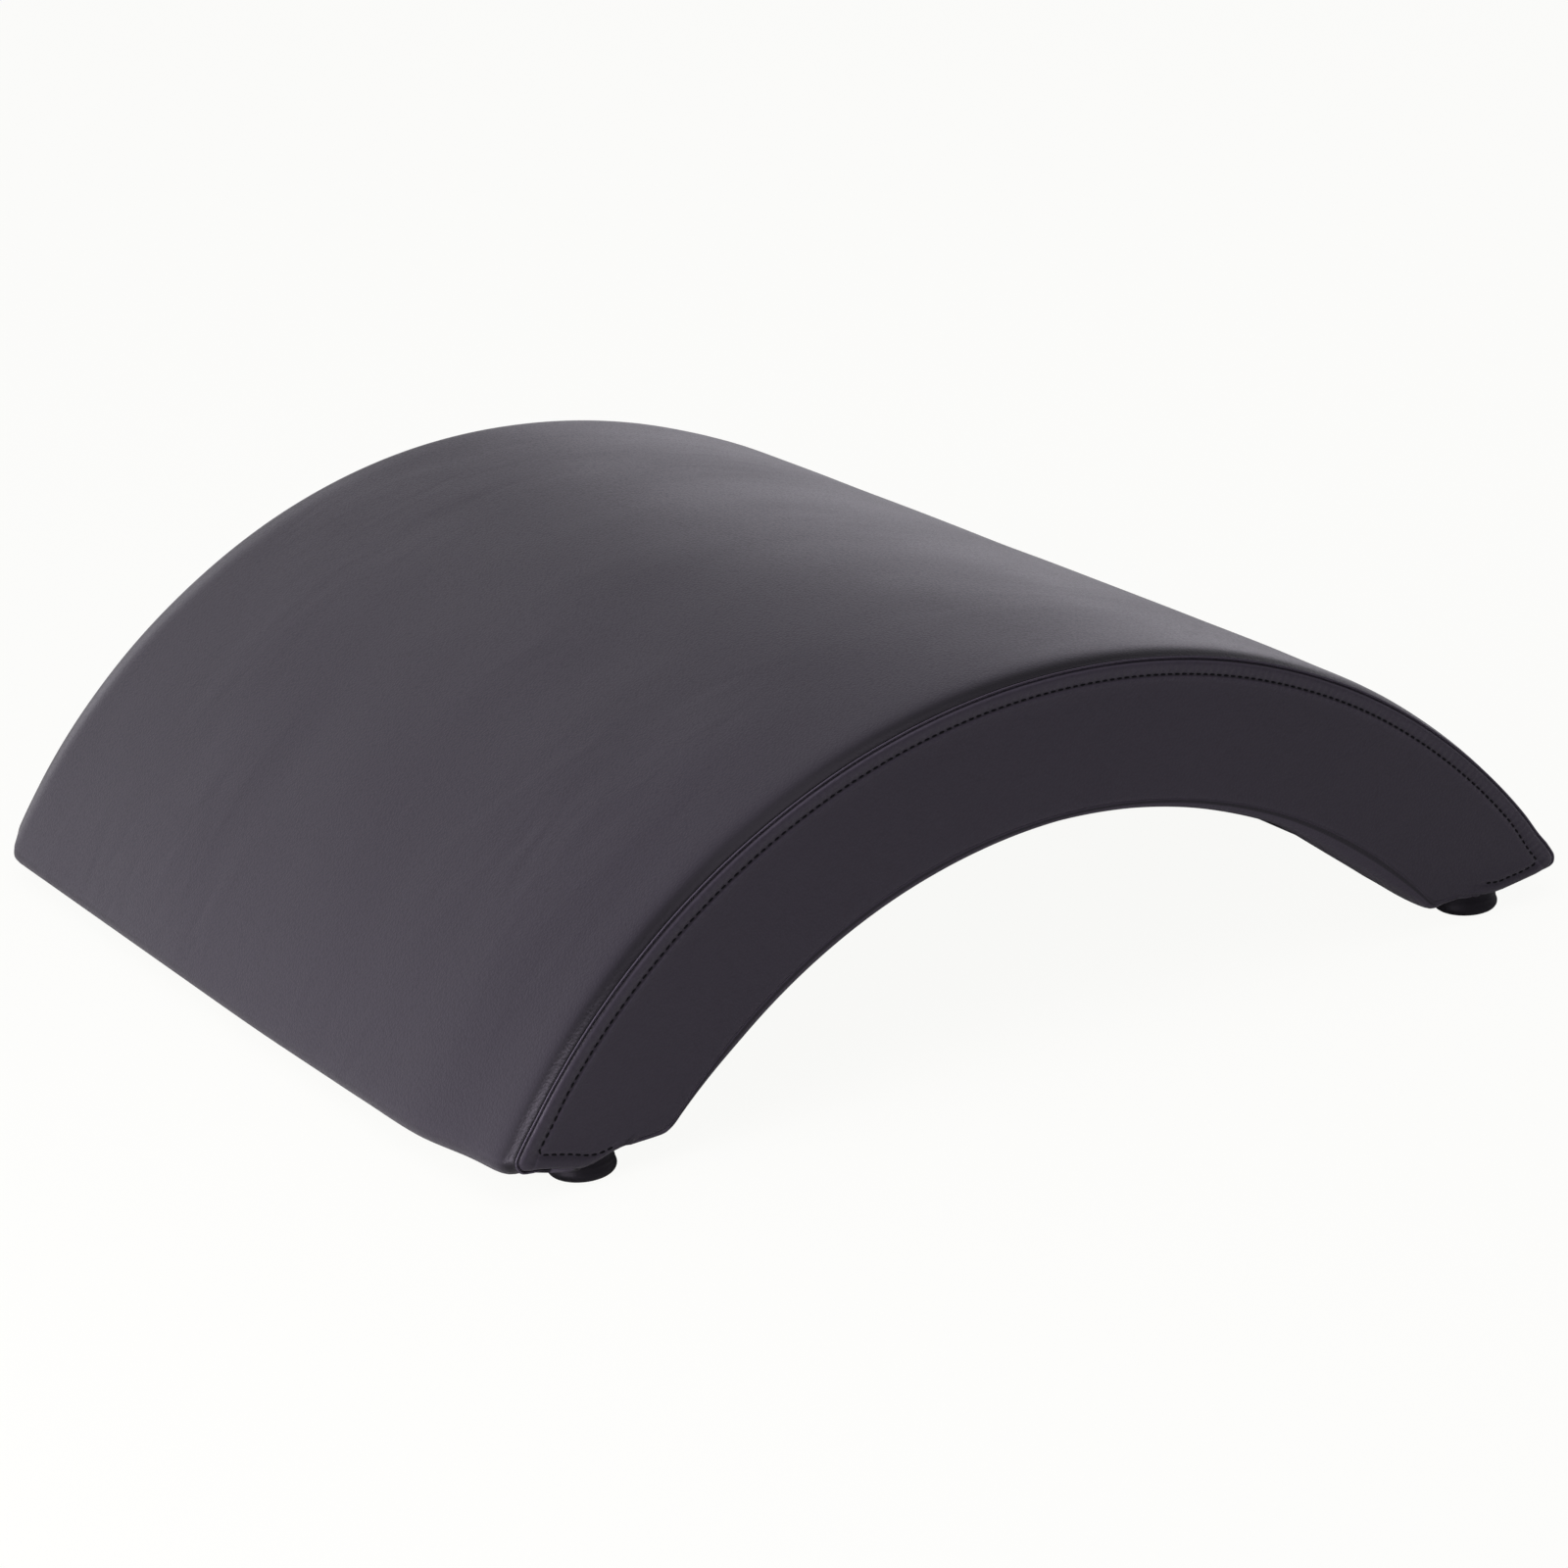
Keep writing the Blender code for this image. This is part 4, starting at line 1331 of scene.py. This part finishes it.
def add_staple(bm, x, y):
    """The crown and shoulders of a staple, pressed into a hem that runs along Y."""
    width, wire, high = 0.0100, 0.0012, 0.0006
    section = ((-0.5, 0.0), (-0.5, 0.7), (-0.25, 1.0), (0.25, 1.0), (0.5, 0.7), (0.5, 0.0))
    rings = []
    shoulder = ((0.36, 1.0), (0.44, 0.8), (0.49, 0.0), (0.5, -0.9))
    for along, drop in [(-along, drop) for along, drop in shoulder[::-1]] + list(shoulder):
        ring = []
        for across, rise in section:
            z = BODY_BOTTOM + 0.0002 - high * rise * clamp(drop) + (high if drop < 0 else 0.0)
            ring.append(bm.verts.new((x + wire * across, y + width * along, z)))
        rings.append(ring)
    for before, after in zip(rings, rings[1:]):
        for k in range(len(section)):
            bm.faces.new((before[k - 1], before[k], after[k], after[k - 1]))
    bm.faces.new(rings[0])
    bm.faces.new(rings[-1][::-1])


class ARC_OT_staples(bpy.types.Operator):
    """Staples both hems to the rail under each leg"""

    bl_idname = "arc.staples"
    bl_label = "Staples"

    def execute(self, context):
        pitch = context.scene.arc_sewing.staple_pitch
        material = zinc_material("Zinc plated steel", context.scene.arc_finishes)
        for name, leg in (("left_staples", -1), ("right_staples", 1)):
            bm = bmesh.new()
            count = int(STAPLED_WIDTH / pitch)
            for k in range(count + 1):
                y = (k - count / 2) * pitch
                add_staple(bm, leg * (FOOT_X + STAPLE_ROW), y)
                add_staple(bm, leg * (FOOT_X - STAPLE_ROW), y + 0.3 * pitch)
            add_piece(name, bm, material)
        return {"FINISHED"}


class ARC_OT_frame_finishes(bpy.types.Operator):
    """Gives the wooden frame, screws and washers their finishes"""

    bl_idname = "arc.frame_finishes"
    bl_label = "Frame finishes"

    def execute(self, context):
        finishes = context.scene.arc_finishes
        for name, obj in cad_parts.items():
            if obj.hide_render:
                continue
            if name in ("top_deck", "soffit_panel"):
                material = ply_material("Bent plywood", finishes, "bent")
            elif name.endswith("_rib"):
                material = ply_material("Flat plywood", finishes, "flat")
            elif "rail" in name or "batten" in name:
                material = softwood_material("Planed softwood", finishes)
            else:
                material = zinc_material("Zinc plated steel", finishes)
            if not obj.material_slots:
                obj.data.materials.append(material)
            for slot in obj.material_slots:
                slot.material = material
        return {"FINISHED"}


def add_area_light(name, place, target, size, power):
    """A rectangular soft light that points at its target."""
    light = bpy.data.lights.new(name, "AREA")
    light.shape = "RECTANGLE"
    light.size, light.size_y = size
    light.energy = power
    light.color = LIGHT_TINT
    obj = bpy.data.objects.new(name, light)
    obj.location = place
    obj.rotation_euler = (Vector(target) - Vector(place)).to_track_quat("-Z", "Y").to_euler()
    bpy.context.scene.collection.objects.link(obj)


def set_world():
    """White behind the object, bright low behind it and over the floor, and dim above the camera."""
    world = bpy.data.worlds.new("Studio")
    bpy.context.scene.world = world
    world.use_nodes = True
    tree = world.node_tree
    background = tree.nodes["Background"]
    way = node(tree, "ShaderNodeTexCoord").outputs["Generated"]
    across, deep, up = (axis_of(tree, way, axis) for axis in "XYZ")
    behind = spread(tree, deep, -0.25, 0.65, 0.0, 1.0)
    low = spread(tree, up, 0.0, 0.6, 1.0, 0.0)
    rim = spread(tree, up, 0.0, 0.15, 0.95, 0.0)
    left = spread(tree, across, -0.5, -0.2, 0.64, 1.0)
    left = total(tree, left, spread(tree, across, -0.56, -0.44, 0.75, 0.0))
    low = total(tree, product(tree, low, left, 0.74), rim)
    level = total(tree, 0.37, product(tree, behind, low))
    tint = {0: (0.98, 0.95, 1.03), "Scale": level}
    grey = node(tree, "ShaderNodeVectorMath", tint, operation="SCALE").outputs["Vector"]
    seen = node(tree, "ShaderNodeLightPath").outputs["Is Camera Ray"]
    tree.links.new(mix_colour(tree, seen, grey, (0.976, 0.976, 0.96, 1)), background.inputs["Color"])
    background.inputs["Strength"].default_value = 1.0


def floor_material(stage):
    """A pale floor that stays nearly white in view and keeps the object's soft shadow."""
    material, tree, shader = new_material("Studio floor")
    tone = noise_over(tree, place_of(tree), 3.0, 2.0)
    pale = mix_colour(tree, tone, toned(stage.floor), toned(stage.floor, 1.01))
    tree.links.new(pale, shader.inputs["Base Color"])
    shader.inputs["Roughness"].default_value = 0.9
    shader.inputs["Specular IOR Level"].default_value = 0.0
    glow = node(tree, "ShaderNodeEmission", {"Color": (0.987, 0.987, 0.97, 1), "Strength": 1.0})
    seen = node(tree, "ShaderNodeLightPath").outputs["Is Camera Ray"]
    shaders = {0: product(tree, seen, 0.95), 1: shader.outputs["BSDF"], 2: glow.outputs["Emission"]}
    mixed = node(tree, "ShaderNodeMixShader", shaders)
    tree.links.new(mixed.outputs["Shader"], tree.nodes["Material Output"].inputs["Surface"])
    return material


class ARC_OT_stage(bpy.types.Operator):
    """Sets the floor, the soft lights and the camera"""

    bl_idname = "arc.stage"
    bl_label = "Stage"

    def execute(self, context):
        stage = context.scene.arc_stage
        bm = bmesh.new()
        bmesh.ops.create_circle(bm, cap_ends=True, segments=96, radius=14.0)
        floor = new_object("studio_floor", bm, floor_material(stage))
        set_world()
        for name, setting, place, target, size in LIGHTS:
            add_area_light(name, place, target, size, getattr(stage, setting))
        camera = bpy.data.cameras.new("Camera")
        camera.lens = stage.lens
        camera.sensor_width = 36.0
        camera.clip_start = 0.05
        camera.clip_end = 60.0
        obj = bpy.data.objects.new("Camera", camera)
        turned = Matrix(CAMERA_AXES).transposed().to_quaternion().to_matrix().to_4x4()
        obj.matrix_world = Matrix.Translation(CAMERA_PLACE) @ turned
        context.scene.collection.objects.link(obj)
        context.scene.camera = obj
        context.scene.view_settings.view_transform = "Standard"
        return {"FINISHED"}


class ARC_PT_panel(bpy.types.Panel):
    """The arc's pieces and settings"""

    bl_idname = "ARC_PT_panel"
    bl_label = "Pilates Arc"
    bl_space_type = "VIEW_3D"
    bl_region_type = "UI"
    bl_category = "Pilates Arc"

    def draw(self, context):
        layout = self.layout
        for group in SETTINGS:
            box = layout.box()
            settings = getattr(context.scene, group)
            for name in settings.__annotations__:
                box.prop(settings, name)
        for operator in OPERATORS:
            layout.operator(operator.bl_idname)


SETTINGS = {"arc_form": ArcForm, "arc_sewing": ArcSewing, "arc_finishes": ArcFinishes, "arc_stage": ArcStage}
OPERATORS = (
    ARC_OT_pads,
    ARC_OT_top_cover,
    ARC_OT_side_covers,
    ARC_OT_underside_cover,
    ARC_OT_topstitch,
    ARC_OT_feet,
    ARC_OT_staples,
    ARC_OT_frame_finishes,
    ARC_OT_stage,
)


def register():
    for name, group in SETTINGS.items():
        bpy.utils.register_class(group)
        setattr(bpy.types.Scene, name, bpy.props.PointerProperty(type=group))
    for operator in OPERATORS:
        bpy.utils.register_class(operator)
    bpy.utils.register_class(ARC_PT_panel)


def unregister():
    bpy.utils.unregister_class(ARC_PT_panel)
    for operator in reversed(OPERATORS):
        bpy.utils.unregister_class(operator)
    for name, group in reversed(SETTINGS.items()):
        delattr(bpy.types.Scene, name)
        bpy.utils.unregister_class(group)


def main():
    """Builds every piece in order."""
    register()
    bpy.ops.arc.pads()
    bpy.ops.arc.top_cover()
    bpy.ops.arc.side_covers()
    bpy.ops.arc.underside_cover()
    bpy.ops.arc.topstitch()
    bpy.ops.arc.feet()
    bpy.ops.arc.staples()
    bpy.ops.arc.frame_finishes()
    bpy.ops.arc.stage()


if __name__ == "__main__":
    main()
